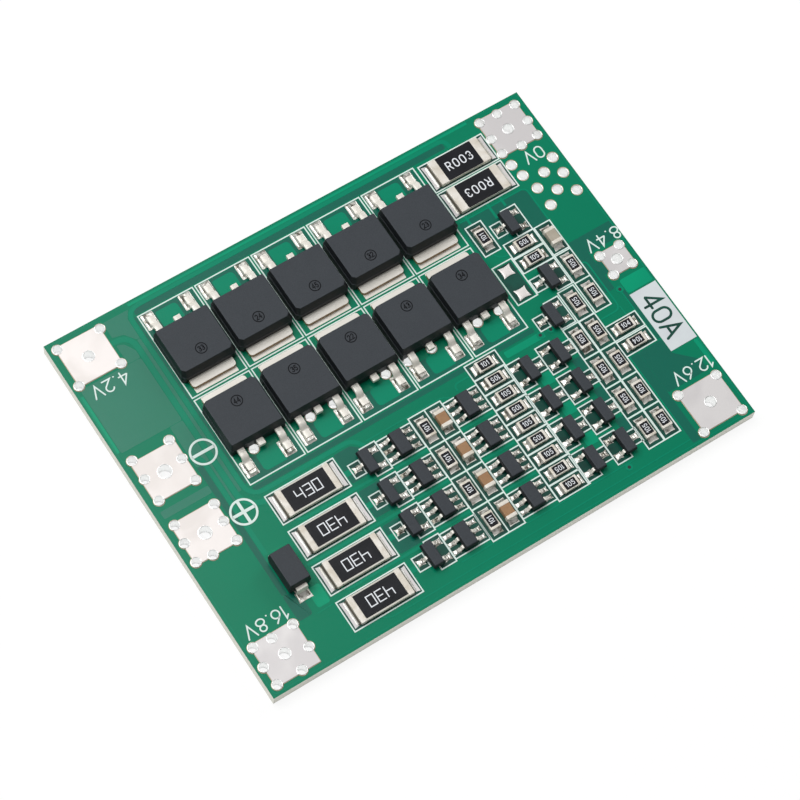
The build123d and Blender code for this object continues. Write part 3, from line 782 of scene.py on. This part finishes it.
def lead_pour(body, way):
    """Pour between the leads of a power transistor, with round corners."""
    if way > 0:
        return rounded_box(body + (-0.22, 4.45), (1.28, 1.22), (0.5, 0.25, 0.1, 0.1))
    return rounded_box(body + (0.22, -5.16), (1.33, 1.08), (0.1, 0.45, 0.45, 0.15))


def lead_field(body, way):
    """Bare board round the leads of a power transistor."""
    low, high = (3.25, 6.0) if way > 0 else (-6.58, -4.1)
    return box_outline(body[0] - 3.15, body[1] + low, body[0] + 3.28, body[1] + high)


def pockets():
    """Bare board inside the printed boxes of the small parts, darkened further as painted shade, from
    centres and half sizes.
    """
    found = [(flat(low, high)[0], (0.92, 1.85) if axis else (1.87, 0.88))
             for low, high, axis, _ in small_chips()]
    for low, high, way in small_transistors():
        centre = flat(low, high)[0]
        found += [(centre + (way * 1.2, 0), (0.68, 0.74)), (centre + (way * -0.95, 0), (0.9, 1.7))]
    found += [(flat(*box)[0] + (0.09, 0), (2.05, 1.47)) for box in monitor_boxes()]
    found += [(flat(low, high)[0], (4.05, 1.72)) for _, low, high, _ in wide_chips()]
    found.append((flat_box("spare_pads")[0], (1.05, 2.32)))
    return [rounded_box(*place, 0.1, steps=1) for place in found]


def covered_tracks(rise):
    """Raised tracks, each a hair higher than the last."""
    shapes = []
    for order, (width, cuts, *spots) in enumerate(TRACKS):
        path = softened(np.reshape(spots, (-1, 2)) + CORNER, cuts, closed=False)
        shapes.append(strip(path, width, SEAT, TOP + rise + LAYER / 4 * (order % 16)))
    return shapes


def holes():
    """Centre and radius of each hole: points of the board's top that lie inside its edge, grouped by
    nearness."""
    points = np.unique(np.round(mesh_points("circuit_board")[1], 3), axis=0)
    inside = (np.abs(points[:, :2]) < BOARD_HIGH[:2] - 0.05).all(axis=1)
    rim = points[inside & (np.abs(points[:, 2] - TOP) < 0.01), :2]
    left = np.ones(len(rim), dtype=bool)
    found = []
    while left.any():
        group = np.arange(len(rim)) == np.argmax(left)
        size = 0
        while group.sum() > size:
            size = group.sum()
            group |= left & (np.linalg.norm(rim[:, None] - rim[group], axis=2).min(axis=1) < 0.34)
        loop = rim[group]
        centre = (loop.min(axis=0) + loop.max(axis=0)) / 2
        found.append((centre, float(np.linalg.norm(loop - centre, axis=1).max())))
        left &= ~group
    return found


def on_pad(centre):
    """Whether a hole lies on a wire pad or its rim."""
    return any((np.abs(centre - place) < half + 0.5).all() for place, half in map(flat_box, WIRE_PADS))


def runs(points, kept, width):
    """Flat line along each unbroken run of the kept points."""
    edges = np.flatnonzero(np.diff(np.concatenate(((False,), kept, (False,))).astype(int)))
    return [strip(points[start:end], width, TOP - 0.01, TOP + 0.03)
            for start, end in edges.reshape(-1, 2) if end - start > 2]


def pad_rim(centre, half, found, width):
    """Bare line round a pad: straight runs along its sides between the holes, and the part of a ring
    round each hole that lies outside the pad."""
    near = [(place, radius) for place, radius in found if (np.abs(place - centre) < half + 0.4).all()]
    shapes = []
    grown = half + width / 2
    corners = box_outline(*(centre - grown), *(centre + grown))
    for start, end in zip(corners, np.roll(corners, -1, axis=0)):
        steps = int(np.linalg.norm(end - start) / 0.03)
        points = start + (end - start) * np.linspace(0, 1, steps + 1)[:, None]
        free = [(np.linalg.norm(points - place, axis=1) > radius + 0.06) for place, radius in near]
        shapes += runs(points, np.all(free, axis=0), width)
    for place, radius in near:
        ring = arc(place, radius + 0.05, 0, 354, 59)
        outside = (np.abs(ring - centre) > half + 0.01).any(axis=1)
        if outside.any() and not outside.all():
            first = np.flatnonzero(outside & ~np.roll(outside, 1))[0]
            shapes += runs(np.roll(ring, -first, axis=0), np.roll(outside, -first), width)
    return shapes


def barrel(centre, radius, top):
    """Tinned lining turned about the hole: a round lip over each face and a wall between them."""
    lip = radius + 0.01
    edge = 0.035
    turn = np.radians(np.linspace(90, 180, 5))
    upper = np.stack((radius * 0.92 + edge + edge * np.cos(turn), top + edge * np.sin(turn) * 0.8), axis=1)
    lower = np.stack((upper[::-1, 0], (top - upper[::-1, 1]) * 0.6), axis=1)
    return turned(np.concatenate((
        ((lip, top - 0.02), (lip, top + 0.02)), upper, lower,
        ((lip, -0.01), (lip, 0.02), (radius * 0.99, 0.02), (radius * 0.99, top - 0.02)))), centre)


class Step:
    """What every step has in common."""
    bl_options = {"REGISTER", "UNDO"}


class BOARD_OT_finish_board(Step, bpy.types.Operator):
    """Give the bare board its mask and sawn edges"""
    bl_idname = "board.finish_board"
    bl_label = "Finish board"

    def execute(self, context):
        dress("circuit_board", "board_mask")
        return {"FINISHED"}


class BOARD_OT_lay_tracks(Step, bpy.types.Operator):
    """Lay the covered tracks and the bare stretches between the pours"""
    bl_idname = "board.lay_tracks"
    bl_label = "Lay tracks"

    def execute(self, context):
        rise = size_of("track_height")
        rows = [(body, way) for _, body, way in power_rows()]
        lead_fields = [lead_field(*row) for row in rows]
        heap("left_fields", placed(PALE_FIELDS), 0.2 * rise, "pale_gap_mask")
        heap("bare_fields", placed(BARE_FIELDS) + lead_fields, 0.2 * rise, "gap_mask")
        # Bare board round the small parts, darkened with painted shade
        heap("part_pockets", pockets(), 0.45 * rise, "shaded_pocket_mask")
        heap("lead_pours", [lead_pour(*row) for row in rows], 0.55 * rise, "track_mask")
        heap("bright_pours", placed(BRIGHT_POURS), 0.6 * rise, "bright_mask")
        add_piece("covered_tracks", covered_tracks(0.7 * rise), "track_mask")
        rings = [rounded_box(via, (0.42, 0.42), 0.42, 5) for via in COVERED_VIAS[:4] + CORNER]
        dots = [rounded_box(via, (0.19, 0.19), 0.19) for via in COVERED_VIAS + CORNER]
        heap("via_rings", rings, 1.15 * rise, "track_mask")
        heap("via_dots", dots, 1.3 * rise, "dark_via")
        return {"FINISHED"}


class BOARD_OT_plate_holes(Step, bpy.types.Operator):
    """Tin the wire pads, line every hole and draw the bare rings round them"""
    bl_idname = "board.plate_holes"
    bl_label = "Plate holes"

    def execute(self, context):
        width = size_of("rim_width")
        found = holes()
        rims = []
        for name in WIRE_PADS:
            # The left pads take the tin with painted glare, the right pads the grey tin
            dress(name, "glare_pad_tin" if name in LEFT_PADS else "grey_pad_tin")
            rims += pad_rim(*flat_box(name), found, width)
        barrels = []
        for centre, radius in found:
            raised = on_pad(centre)
            barrels.append(barrel(centre, radius, TOP + 0.1 if raised else TOP))
            if not raised:
                ring = arc(centre, radius + 0.05, 0, 348, 29)
                rims.append(strip(ring, width, TOP - 0.01, TOP + 0.02, closed=True))
        add_piece("bare_rings", rims, "rim_resin")
        add_piece("hole_linings", barrels, "barrel_tin")
        return {"FINISHED"}


# Power transistors

def power_mould(low, high, way):
    """Moulded body: a straight band, and an upper part that is drawn in by a distance all round and
    further at its ends and right side by a share, with a rounded top edge and cut corners at the tab."""
    near = np.array((0, 0.2 if way > 0 else 0.1, 0))
    far = np.array((0.2, 0.1 if way > 0 else 0.08, 0))
    corners = (0.1, 0.1, 0.36, 0.36)[::way]
    base = low[2]
    parting = base + 1.25
    top = high[2]
    rows = ((0.05, 0, base + 0.03), (0, 0, base + 0.1), (0, 0, parting), (0.03, 0, parting + 0.02),
            (0.13, 0.9, top - 0.07), (0.15, 0.97, top - 0.02), (0.21, 1, top))
    outlines = []
    for shrink, drawn, _ in rows:
        centre, half = flat(low + near * drawn, high - far * drawn)
        outlines.append(rounded_box(centre, half - shrink, corners, steps=1))
    return stacked(outlines, [height for _, _, height in rows])


def power_mark(low, high, way, figures):
    """Ring and two figures left in the top by the mould; the ring is dark all round as painted shade of a
    shallow recess.
    """
    centre = flat(low, high)[0] + (-0.05, -1.24 * way)
    under = high[2] - 0.01
    ring = strip(arc(centre, 0.6, 0, 345, 23), 0.11, under, high[2] + 0.012, closed=True)
    return [ring] + lettering(figures, centre, 0.58, 0.11, 0, under, high[2] + 0.008, gap=0.24, widen=0.66)


def power_lead(low, high, way):
    """Stout lead of a power transistor."""
    thickness = 0.5
    along = np.concatenate(((-0.3, 0.72), np.linspace(0.82, 1.48, 8), (1.62, high[1] - low[1] - 0.4)))
    profile = rounded_box((0, 0), ((high[0] - low[0]) / 2, thickness * 0.42), 0.07, steps=2)
    heights = (high[2] - thickness / 2, low[2] + thickness * 0.45)
    return bent_lead((low, high), way, 1, 0, along, (0.78, 1.48), heights, profile)


def tab(low, high, way):
    """Heat tab with its two outer corners cut."""
    profile = ((0.03, low[2] + 0.01), (0, low[2] + 0.04), (0, high[2] - 0.03), (0.01, high[2] - 0.01),
               (0.03, high[2]))
    return mould(low, high, (0.1, 0.1, 0.35, 0.35)[::way], profile)


class BOARD_OT_fit_power_transistors(Step, bpy.types.Operator):
    """Fit the ten power transistors with their tabs, leads, solder and mould rings"""
    bl_idname = "board.fit_power_transistors"
    bl_label = "Fit power transistors"

    def execute(self, context):
        lands = []
        tab_lands = []
        solder = []
        marks = []
        for number, (node, _, way) in enumerate(power_rows(), 1):
            box = node_box(f"{node}_body")
            marks += power_mark(*box, way, f"{4 - number % 3}{number % 4 + 2}")
            add_piece(f"{node}_mould", [power_mould(*box, way)], "body_mould", (f"{node}_body",))
            pieces = islands(f"{node}_leads")
            low, high = max(pieces, key=lambda piece: flat(*piece)[1][0])
            bent = [piece for piece in pieces if flat(*piece)[1][1] > 1 and piece[0] is not low]
            stubs = [block(*piece, 0.08, 0.06) for piece in pieces if flat(*piece)[1][1] < 0.75]
            shapes = [power_lead(*piece, way) for piece in bent] + stubs
            add_piece(f"{node}_bent_leads", shapes, "tinned_lead", (f"{node}_leads",))
            add_piece(f"{node}_tab", [tab(low, high, way)], "tab_tin", (f"{node}_leads",))
            (x, _), (half, _) = flat(low, high)
            y, depth = (low[1] - 0.1, 0.42) if way > 0 else (high[1], 0.16)
            tab_lands.append(plate(rounded_box((x, y), (half - 0.08, depth), 0.08), edge=0.012))
            for piece in bent:
                x = flat(*piece)[0][0]
                end = side(*piece, 1, way)
                land = rounded_box((x - 0.1, end - way * 0.75), (0.72, 0.98), 0.12)
                lands.append(plate(land, edge=0.012))
                foot = rounded_box((x, end - way * 0.62), (0.38, 0.58), 0.1)
                spread = rounded_box((x - 0.05, end - way * 0.64), (0.62, 0.86), 0.14)
                solder.append(meniscus(foot, spread, 0.3))
        add_piece("power_marks", marks, "mould_mark_and_ring_shade")
        add_piece("power_lands", lands, "land_solder")
        add_piece("power_tab_lands", tab_lands, "tinned_lead")
        add_piece("power_solder", solder, "solder")
        return {"FINISHED"}


# Monitor chips, small transistors and the diode

def small_body(low, high):
    """Small moulded body: both halves draw in from the parting line, and the edges are rounded."""
    parting = low[2] + 0.52
    profile = ((0.16, low[2]), (0.12, low[2] + 0.03), (0, parting - 0.03), (0, parting + 0.03),
               (0.1, high[2] - 0.06), (0.14, high[2] - 0.015), (0.2, high[2]))
    return mould(low, high, 0.1, profile, steps=2)


def gull_lead(low, high, way):
    """Thin lead of a small part."""
    thickness = 0.15
    reach = high[0] - low[0]
    along = np.concatenate(((0.0, 0.16), np.linspace(0.24, reach * 0.72, 6), (reach * 0.85, reach + 0.1)))
    profile = rounded_box((0, 0), ((high[1] - low[1]) / 2, thickness / 2), 0.03, steps=1)
    heights = (high[2] - thickness / 2, low[2] + thickness / 2 + 0.03)
    return bent_lead((low, high), way, 0, 0.12, along, (0.2, reach * 0.72), heights, profile)


def diode_lead(low, high, way):
    """Folded lead of the diode, with its land and its solder."""
    tip = high[1] - 0.35 if way > 0 else low[1]
    root = high[2] - 0.1
    x = flat(low, high)[0][0]
    path = ((0.6, root), (0.14, root), (0.1, root - 0.06), (0.1, TOP + 0.16), (0.14, TOP + 0.1),
            (1.25, TOP + 0.1))
    route = np.array([(x, tip - way * back, z) for back, z in path])
    profile = rounded_box((0, 0), ((high[0] - low[0]) / 2 - 0.06, 0.1), 0.04, steps=1)
    out = 0.28 if way < 0 else -0.2
    foot = rounded_box((x, tip - way * 0.22), (0.5, 0.2), 0.05)
    spread = rounded_box((x, tip + way * (out - 0.12)), (0.66, 0.4), 0.1)
    land = plate(pinched((x, tip + way * out), (0.82, 0.55), 0.08))
    return carry(route, profile, np.array((1, 0, 0))), land, meniscus(foot, spread, 0.3)


class BOARD_OT_fit_small_parts(Step, bpy.types.Operator):
    """Fit the monitor chips, the small transistors and the diode with their leads and solder"""
    bl_idname = "board.fit_small_parts"
    bl_label = "Fit small parts"

    def execute(self, context):
        owners = []
        for name, nodes in (("monitor_moulds", MONITORS), ("small_transistor_moulds", TRANSISTORS)):
            boxes = [box for node in nodes for box in islands(node)]
            owners += [(low + high) / 2 for low, high in boxes]
            add_piece(name, [small_body(*box) for box in boxes], "body_mould", nodes)
        solder = []
        lands = []
        for name, nodes, half in (
                ("monitor_gull_leads", [f"channel_{k}_monitor_leads" for k in CHANNELS], 0.29),
                ("small_transistor_gull_leads", ["small_transistor_leads"], 0.4)):
            shapes = []
            for low, high in [box for node in nodes for box in islands(node)]:
                centre = (low + high) / 2
                owner = owners[np.argmin(np.linalg.norm(owners - centre, axis=1))]
                way = 1 if centre[0] > owner[0] else -1
                tip = side(low, high, 0, way)
                shapes.append(gull_lead(low, high, way))
                toe = rounded_box((tip - way * 0.1, centre[1]), (0.14, 0.16), 0.04, steps=2)
                spread = rounded_box((tip + way * 0.1, centre[1]), (0.36, half - 0.09), 0.08, steps=2)
                solder.append(meniscus(toe, spread, 0.2))
                lands.append(plate(pinched((tip + way * 0.12, centre[1]), (0.46, half), 0.22)))
            add_piece(name, shapes, "tinned_lead", nodes)
        low, high = node_box("diode_body")
        profile = ((0.14, low[2]), (0.1, low[2] + 0.04), (0, low[2] + 1.05), (0, low[2] + 1.15),
                   (0.12, high[2] - 0.08), (0.16, high[2] - 0.02), (0.24, high[2]))
        add_piece("diode_mould", [mould(low, high, 0.14, profile, steps=3)], "body_mould", ("diode_body",))
        folded = [diode_lead(*box, 1 if box[0][1] > low[1] else -1) for box in islands("diode_leads")]
        add_piece("diode_folded_leads", [lead for lead, _, _ in folded], "tinned_lead", ("diode_leads",))
        add_piece("small_lands", lands + [land for _, land, _ in folded], "land_solder")
        add_piece("small_solder", solder + [fillet for _, _, fillet in folded], "solder")
        return {"FINISHED"}


# Small chips and wide resistors

def between(ends, axis):
    """Box between two end caps, a little inside them."""
    low = ends[:, 0].min(axis=0) + 0.03
    high = ends[:, 1].max(axis=0) - 0.03
    low[axis] = ends[:, 1, axis].min() - 0.1
    high[axis] = ends[:, 0, axis].max() + 0.1
    return low, high


def chip_code(low, high, axis):
    """Three digits on the glaze, by the part of the board that the chip stands on."""
    centre = flat(low, high)[0]
    x, y = centre - CORNER
    words = "105"
    if x < 33 or (x < 40 and y > 18.5) or (x < 47 and y > 30):
        words = "101"
    if x > 53 and y < 17:
        words = "104"
    turn = 90 if axis else (180 if round(y) % 4 == 1 else 0)
    height = high[2] + 0.012
    return lettering(words, centre, 0.5, 0.075, turn, height - 0.004, height + 0.006, gap=0.32, widen=0.82)


def chip_end(cap, middle, axis, land, edge, foot, top, rise):
    """Tinned land that runs out past an end cap, and solder drawn up the cap's outer face. The land and
    the solder's edge are each a shift outwards, a growth along and across the chip, and their pinch or
    corner. The foot is a growth and a corner."""
    centre, half = flat(*cap)
    along = np.arange(2) == axis
    out = along * (1 if centre[axis] > middle[axis] else -1)
    ground = pinched(centre + out * land[0], half + np.where(along, *land[1:3]), land[3])
    spread = rounded_box(centre + out * edge[0], half + np.where(along, *edge[1:3]), edge[3])
    return plate(ground, high=top), meniscus(rounded_box(centre, half + foot[0], foot[1]), spread, rise)


class BOARD_OT_fit_chips(Step, bpy.types.Operator):
    """Fit the small chip resistors and capacitors with their end caps, codes and solder"""
    bl_idname = "board.fit_chips"
    bl_label = "Fit small chips"

    def execute(self, context):
        ceramics = []
        coats = []
        codes = []
        for low, high, axis, ends in chip_places("chip_resistor"):
            inner = between(ends, axis)
            ceramics.append(block(*inner, 0.02, 0.02))
            centre, half = flat(*inner)
            glaze = rounded_box(centre, half + np.where(np.arange(2) == axis, 0.05, -0.11), 0.05, steps=2)
            coats.append(plate(glaze, inner[1][2] - 0.01, high[2] + 0.012, 0.015))
            codes += chip_code(low, high, axis)
        add_piece("chip_resistor_ceramics", ceramics, "ceramic", ("chip_resistor_bodies",))
        add_piece("chip_resistor_coats", coats, "coat")
        add_piece("chip_codes", codes, "code_ink")
        joints = self.ends("chip_resistor")
        blocks = [(low[0] < 20, block(*between(ends, axis), 0.05, 0.06))
                  for low, _, axis, ends in chip_places("chip_capacitor")]
        brown = [shape for left, shape in blocks if left]
        grey = [shape for left, shape in blocks if not left]
        add_piece("chip_capacitor_blocks", brown, "brown_dielectric", ("chip_capacitor_bodies",))
        add_piece("driver_capacitor_block", grey, "grey_dielectric", ("chip_capacitor_bodies",))
        joints += self.ends("chip_capacitor")
        add_piece("chip_lands", [land for land, _ in joints], "land_solder")
        add_piece("chip_solder", [fillet for _, fillet in joints], "solder")
        return {"FINISHED"}

    def ends(self, kind):
        """Make the end caps of one kind of chip, and give the land and solder of each."""
        caps = []
        joints = []
        for low, high, axis, ends in chip_places(kind):
            for cap in ends:
                caps.append(block(*cap, 0.06, 0.055))
                joints.append(chip_end(cap, flat(low, high)[0], axis, (0.275, 0.295, -0.03, 0.1),
                                       (0.24, 0.2, -0.1, 0.08), (-0.04, 0.05), LAND_TOP, 0.36))
        add_piece(f"{kind}_terminals", caps, "cap_tin", (f"{kind}_end_caps",))
        return joints


def wide_code(name, centre, top):
    """Resistance printed on the glaze, each second chip the other way up."""
    low = top - 0.004
    high = top + 0.008
    if name.startswith("shunt"):
        turn = 0 if name.endswith("1") else 180
        return lettering("R003", centre, 0.98, 0.135, turn, low, high, gap=0.36, widen=0.84)
    turn = 0 if name.endswith("4") else 180
    return lettering("430", centre, 1.2, 0.12, turn, low, high, gap=0.26, widen=1.08, signs=SQUARE_SIGNS)


class BOARD_OT_fit_wide_resistors(Step, bpy.types.Operator):
    """Fit the two shunts and the four bleed resistors with their codes and solder"""
    bl_idname = "board.fit_wide_resistors"
    bl_label = "Fit wide resistors"

    def execute(self, context):
        ceramics = []
        coats = []
        codes = []
        caps = []
        nodes = []
        joints = []
        for name, low, high, ends in wide_chips():
            top = ends[0][1][2]
            low[1], high[1] = ends[0][0][1], ends[0][1][1]
            high[2] = top
            ceramics.append(block(low + (-0.2, 0.03, 0), high + (0.2, -0.03, -0.03), 0.03, 0.03))
            nodes.append(f"{name}_body")
            centre, half = flat(low, high)
            glaze = half + ((0.14, -0.06) if name.startswith("shunt") else (-0.02, -0.21))
            coats.append(plate(rounded_box(centre, glaze, 0.08), top - 0.04, top + 0.012, 0.03))
            codes += wide_code(name, centre, top + 0.012)
            for cap in ends:
                caps.append(block(*cap, 0.08, 0.06))
                joints.append(chip_end(cap, centre, 0, (0.38, 0.36, -0.02, 0.07), (0.26, 0.22, -0.14, 0.3),
                                       (-0.05, 0.06), TOP + 0.035, 0.34))
        add_piece("wide_resistor_ceramics", ceramics, "ceramic", nodes)
        add_piece("wide_resistor_coats", coats, "coat")
        add_piece("wide_resistor_codes", codes, "code_ink")
        add_piece("wide_resistor_terminals", caps, "cap_tin", ("shunt_end_caps", "bleed_resistor_end_caps"))
        add_piece("wide_lands", [land for land, _ in joints], "grey_pad_tin")
        add_piece("wide_solder", [fillet for _, fillet in joints], "calm_solder")
        return {"FINISHED"}


class BOARD_OT_finish_spare_pads(Step, bpy.types.Operator):
    """Tin the empty footprint and crown its solder"""
    bl_idname = "board.finish_spare_pads"
    bl_label = "Finish spare pads"

    def execute(self, context):
        mounds = []
        share = np.linspace(0, 1, 5)
        for low, high in islands("spare_pads"):
            centre, half = flat(low, high)
            outlines = [pinched(centre, half * (1 - 0.8 * s), 0.18 * (1 - s)) for s in share]
            heights = np.concatenate(((TOP - 0.01,), high[2] + 0.05 * np.sqrt(share)))
            mounds.append(stacked([outlines[0]] + outlines, heights))
        add_piece("spare_pads_tinned", mounds, "glare_pad_tin", ("spare_pads",))
        return {"FINISHED"}


# Print

def part_boxes():
    """Printed box round every part, from its centre and its reach to the left, right, front and back."""
    found = [(body, 3.28, 3.4, *((4.8, 6.15) if way > 0 else (6.7, 4.3))) for _, body, way in power_rows()]
    found += [(flat(low, high)[0], 4.15, 4.12, 1.8, 1.8) for _, low, high, _ in wide_chips()]
    found += [(flat(low, high)[0], *((1.0, 1.0, 1.985, 1.985) if axis else (1.95, 1.95, 0.96, 0.96)))
              for low, high, axis, _ in small_chips()]
    for low, high, way in small_transistors():
        for ends, reach in (((0.66, 1.95), 0.83), ((-0.1, -1.93), 1.75)):
            left, right = sorted((way * ends[0], way * ends[1]))
            found.append((flat(low, high)[0], -left, right, reach, reach))
    found += [(flat(*box)[0], 2.05, 2.22, 1.55, 1.55) for box in monitor_boxes()]
    found.append((flat_box("spare_pads")[0], 1.2, 1.3, 2.5, 2.55))
    return [box_outline(x - left, y - front, x + right, y + back)
            for (x, y), left, right, front, back in found]


def voltages(low, high):
    """Voltages beside their pads, upside down as seen from the front."""
    tall = size_of("text_height")
    stroke = size_of("text_stroke")
    shapes = []
    for node, text, x, y in (("wire_pad_4v2", "4.2V", 0.25, -3.95), ("wire_pad_16v8", "16.8V", 0.15, 3.75),
                             ("wire_pad_0v", "0V", 0.65, -4.1), ("wire_pad_8v4", "8.4V", 0.1, 2.75),
                             ("wire_pad_12v6", "12.6V", 0.55, 3.95)):
        shapes += lettering(text, flat_box(node)[0] + (x, y), tall, stroke, 180, low, high, gap=0.26)
    return shapes


def poles(low, high):
    """Ringed minus and plus beside their pads."""
    shapes = []
    for node, offset, bars in (("wire_pad_minus", (4.5, -0.15), 1), ("wire_pad_plus", (4.55, -0.1), 2)):
        centre = flat_box(node)[0] + offset
        shapes.append(strip(arc(centre, 1.38, 0, 352.5, 47), 0.24, low, high, closed=True))
        for order in range(bars):
            reach = np.roll((1.3, 0), order)
            shapes.append(strip((centre - reach, centre + reach), 0.34, low, high + 0.002 * order))
    return shapes


class BOARD_OT_print_silk(Step, bpy.types.Operator):
    """Print the white boxes, signs, pad voltages and rated current"""
    bl_idname = "board.print_silk"
    bl_label = "Print silk"

    def execute(self, context):
        low = TOP - 0.003
        high = TOP + size_of("ink_height")
        width = size_of("ink_width")
        boxes = [strip(outline, width, low, high + LAYER * (order % 8), closed=True)
                 for order, outline in enumerate(part_boxes())]
        add_piece("printed_boxes", boxes, "silk_ink")
        add_piece("printed_words", voltages(low, high) + poles(low, high), "silk_ink")
        right = BOARD_HIGH[0] - 0.2
        front = CORNER[1] + 10.35
        field = box_outline(right - 3.4, front, right, front + 7.75)
        add_piece("rating_field", [plate(field, low, high)], "field_ink")
        centre = (CORNER[0] + 58.05, front + 4.0)
        figures = lettering("40A", centre, 2.15, 0.29, -90, high - 0.002, high + 0.006, gap=0.22, widen=0.98)
        add_piece("rating_figures", figures, "shaded_pocket_mask")
        return {"FINISHED"}


# Stage

def floor():
    """Broad white floor just under the board, white to the eye but for the board's soft shadow."""
    depth = -0.00006
    material = bpy.data.materials.new("floor_white")
    material.use_nodes = True
    tree = material.node_tree
    tree.nodes.clear()
    diffuse = add_node(tree, "BsdfDiffuse", {"Color": (0.95, 0.95, 0.95, 1)})
    glow = add_node(tree, "Emission", {"Color": (1, 1, 1, 1), "Strength": 1.03})
    rays = add_node(tree, "LightPath").outputs
    seen = add_node(tree, "Math", {0: rays["Is Camera Ray"], 1: rays["Is Glossy Ray"]}, operation="MAXIMUM")
    share = add_node(tree, "Math", {0: seen.outputs[0], 1: 0.86}, operation="MULTIPLY")
    blend = add_node(tree, "MixShader", {0: share.outputs[0], 1: diffuse.outputs[0], 2: glow.outputs[0]})
    add_node(tree, "OutputMaterial", {"Surface": blend.outputs[0]})
    mesh = bpy.data.meshes.new("floor")
    mesh.from_pydata([(x, y, depth) for x, y in box_outline(-1.5, -1.5, 1.5, 1.5)], [], [(0, 1, 2, 3)])
    mesh.materials.append(material)
    ground = bpy.data.objects.new("floor", mesh)
    bpy.context.scene.collection.objects.link(ground)


def surroundings():
    """Even pale surroundings: white to the eye, and dimmer as a light."""
    world = bpy.data.worlds.new("surroundings")
    bpy.context.scene.world = world
    world.use_nodes = True
    tree = world.node_tree
    background = tree.nodes["Background"]
    background.inputs["Color"].default_value = (1, 1, 1, 1)
    seen = add_node(tree, "LightPath").outputs["Is Camera Ray"]
    level = add_node(tree, "MapRange", {"Value": seen, "To Min": 0.26, "To Max": 1.0})
    tree.links.new(level.outputs["Result"], background.inputs["Strength"])


def lamp(name, place, width, watts):
    """Broad square lamp that points at the board."""
    light = bpy.data.lights.new(name, "AREA")
    light.shape = "SQUARE"
    light.size = width
    light.energy = watts
    holder = bpy.data.objects.new(name, light)
    bpy.context.scene.collection.objects.link(holder)
    turn = (-Vector(place)).to_track_quat("-Z", "Y").to_matrix().to_4x4()
    holder.matrix_world = Matrix.Translation(place) @ turn


def camera():
    """Camera at the photograph's place: its axis meets the board's top a little left of the middle,
    and it is rolled about that axis."""
    place = Vector((-82.51, -86.45, 260.61)) * MM
    aim = Vector((-1.449, -1.891, 1.6)) * MM
    roll = math.radians(11.507)
    forward = (aim - place).normalized()
    level = forward.cross(Vector((0, 0, 1))).normalized()
    right = level * math.cos(roll) + level.cross(forward) * math.sin(roll)
    eye = bpy.data.cameras.new("camera")
    eye.sensor_width = 36.0
    eye.lens = 122.47
    eye.clip_start = 0.01
    holder = bpy.data.objects.new("camera", eye)
    bpy.context.scene.collection.objects.link(holder)
    turn = Matrix((right, right.cross(forward), -forward)).transposed().to_4x4()
    holder.matrix_world = Matrix.Translation(place) @ turn
    bpy.context.scene.camera = holder


class BOARD_OT_set_stage(Step, bpy.types.Operator):
    """Set the floor, the lamps, the world and the camera"""
    bl_idname = "board.set_stage"
    bl_label = "Set stage"

    def execute(self, context):
        floor()
        surroundings()
        lamp("sky_panel", (-0.21, 0.33, 0.75), 0.62, 5.3)
        lamp("side_panel", (0.8, 0.3, 0.6), 0.4, 1.8)
        camera()
        bpy.context.scene.view_settings.view_transform = "Standard"
        return {"FINISHED"}


class BOARD_PT_panel(bpy.types.Panel):
    """The board's tools in the sidebar."""
    bl_idname = "BOARD_PT_panel"
    bl_label = "Board"
    bl_space_type = "VIEW_3D"
    bl_region_type = "UI"
    bl_category = "Board"

    def draw(self, context):
        for group in GROUPS:
            values = getattr(context.scene, group)
            for name in values.__annotations__:
                self.layout.prop(values, name)
        for step in STEPS:
            self.layout.operator(step.bl_idname)


STEPS = Step.__subclasses__()
GROUPS = {"print_sizes": PrintSizes, "board_colours": BoardColours}


def register():
    """Register the groups, the steps and the panel."""
    for name, group in GROUPS.items():
        bpy.utils.register_class(group)
        setattr(bpy.types.Scene, name, bpy.props.PointerProperty(type=group))
    for step in (*STEPS, BOARD_PT_panel):
        bpy.utils.register_class(step)


def unregister():
    """Take back what was registered, in reverse."""
    for step in (BOARD_PT_panel, *reversed(STEPS)):
        bpy.utils.unregister_class(step)
    for name, group in GROUPS.items():
        delattr(bpy.types.Scene, name)
        bpy.utils.unregister_class(group)


def main():
    """Run the steps in order."""
    register()
    bpy.ops.board.finish_board()
    bpy.ops.board.lay_tracks()
    bpy.ops.board.plate_holes()
    bpy.ops.board.fit_power_transistors()
    bpy.ops.board.fit_small_parts()
    bpy.ops.board.fit_chips()
    bpy.ops.board.fit_wide_resistors()
    bpy.ops.board.finish_spare_pads()
    bpy.ops.board.print_silk()
    bpy.ops.board.set_stage()


if __name__ == "__main__":
    main()
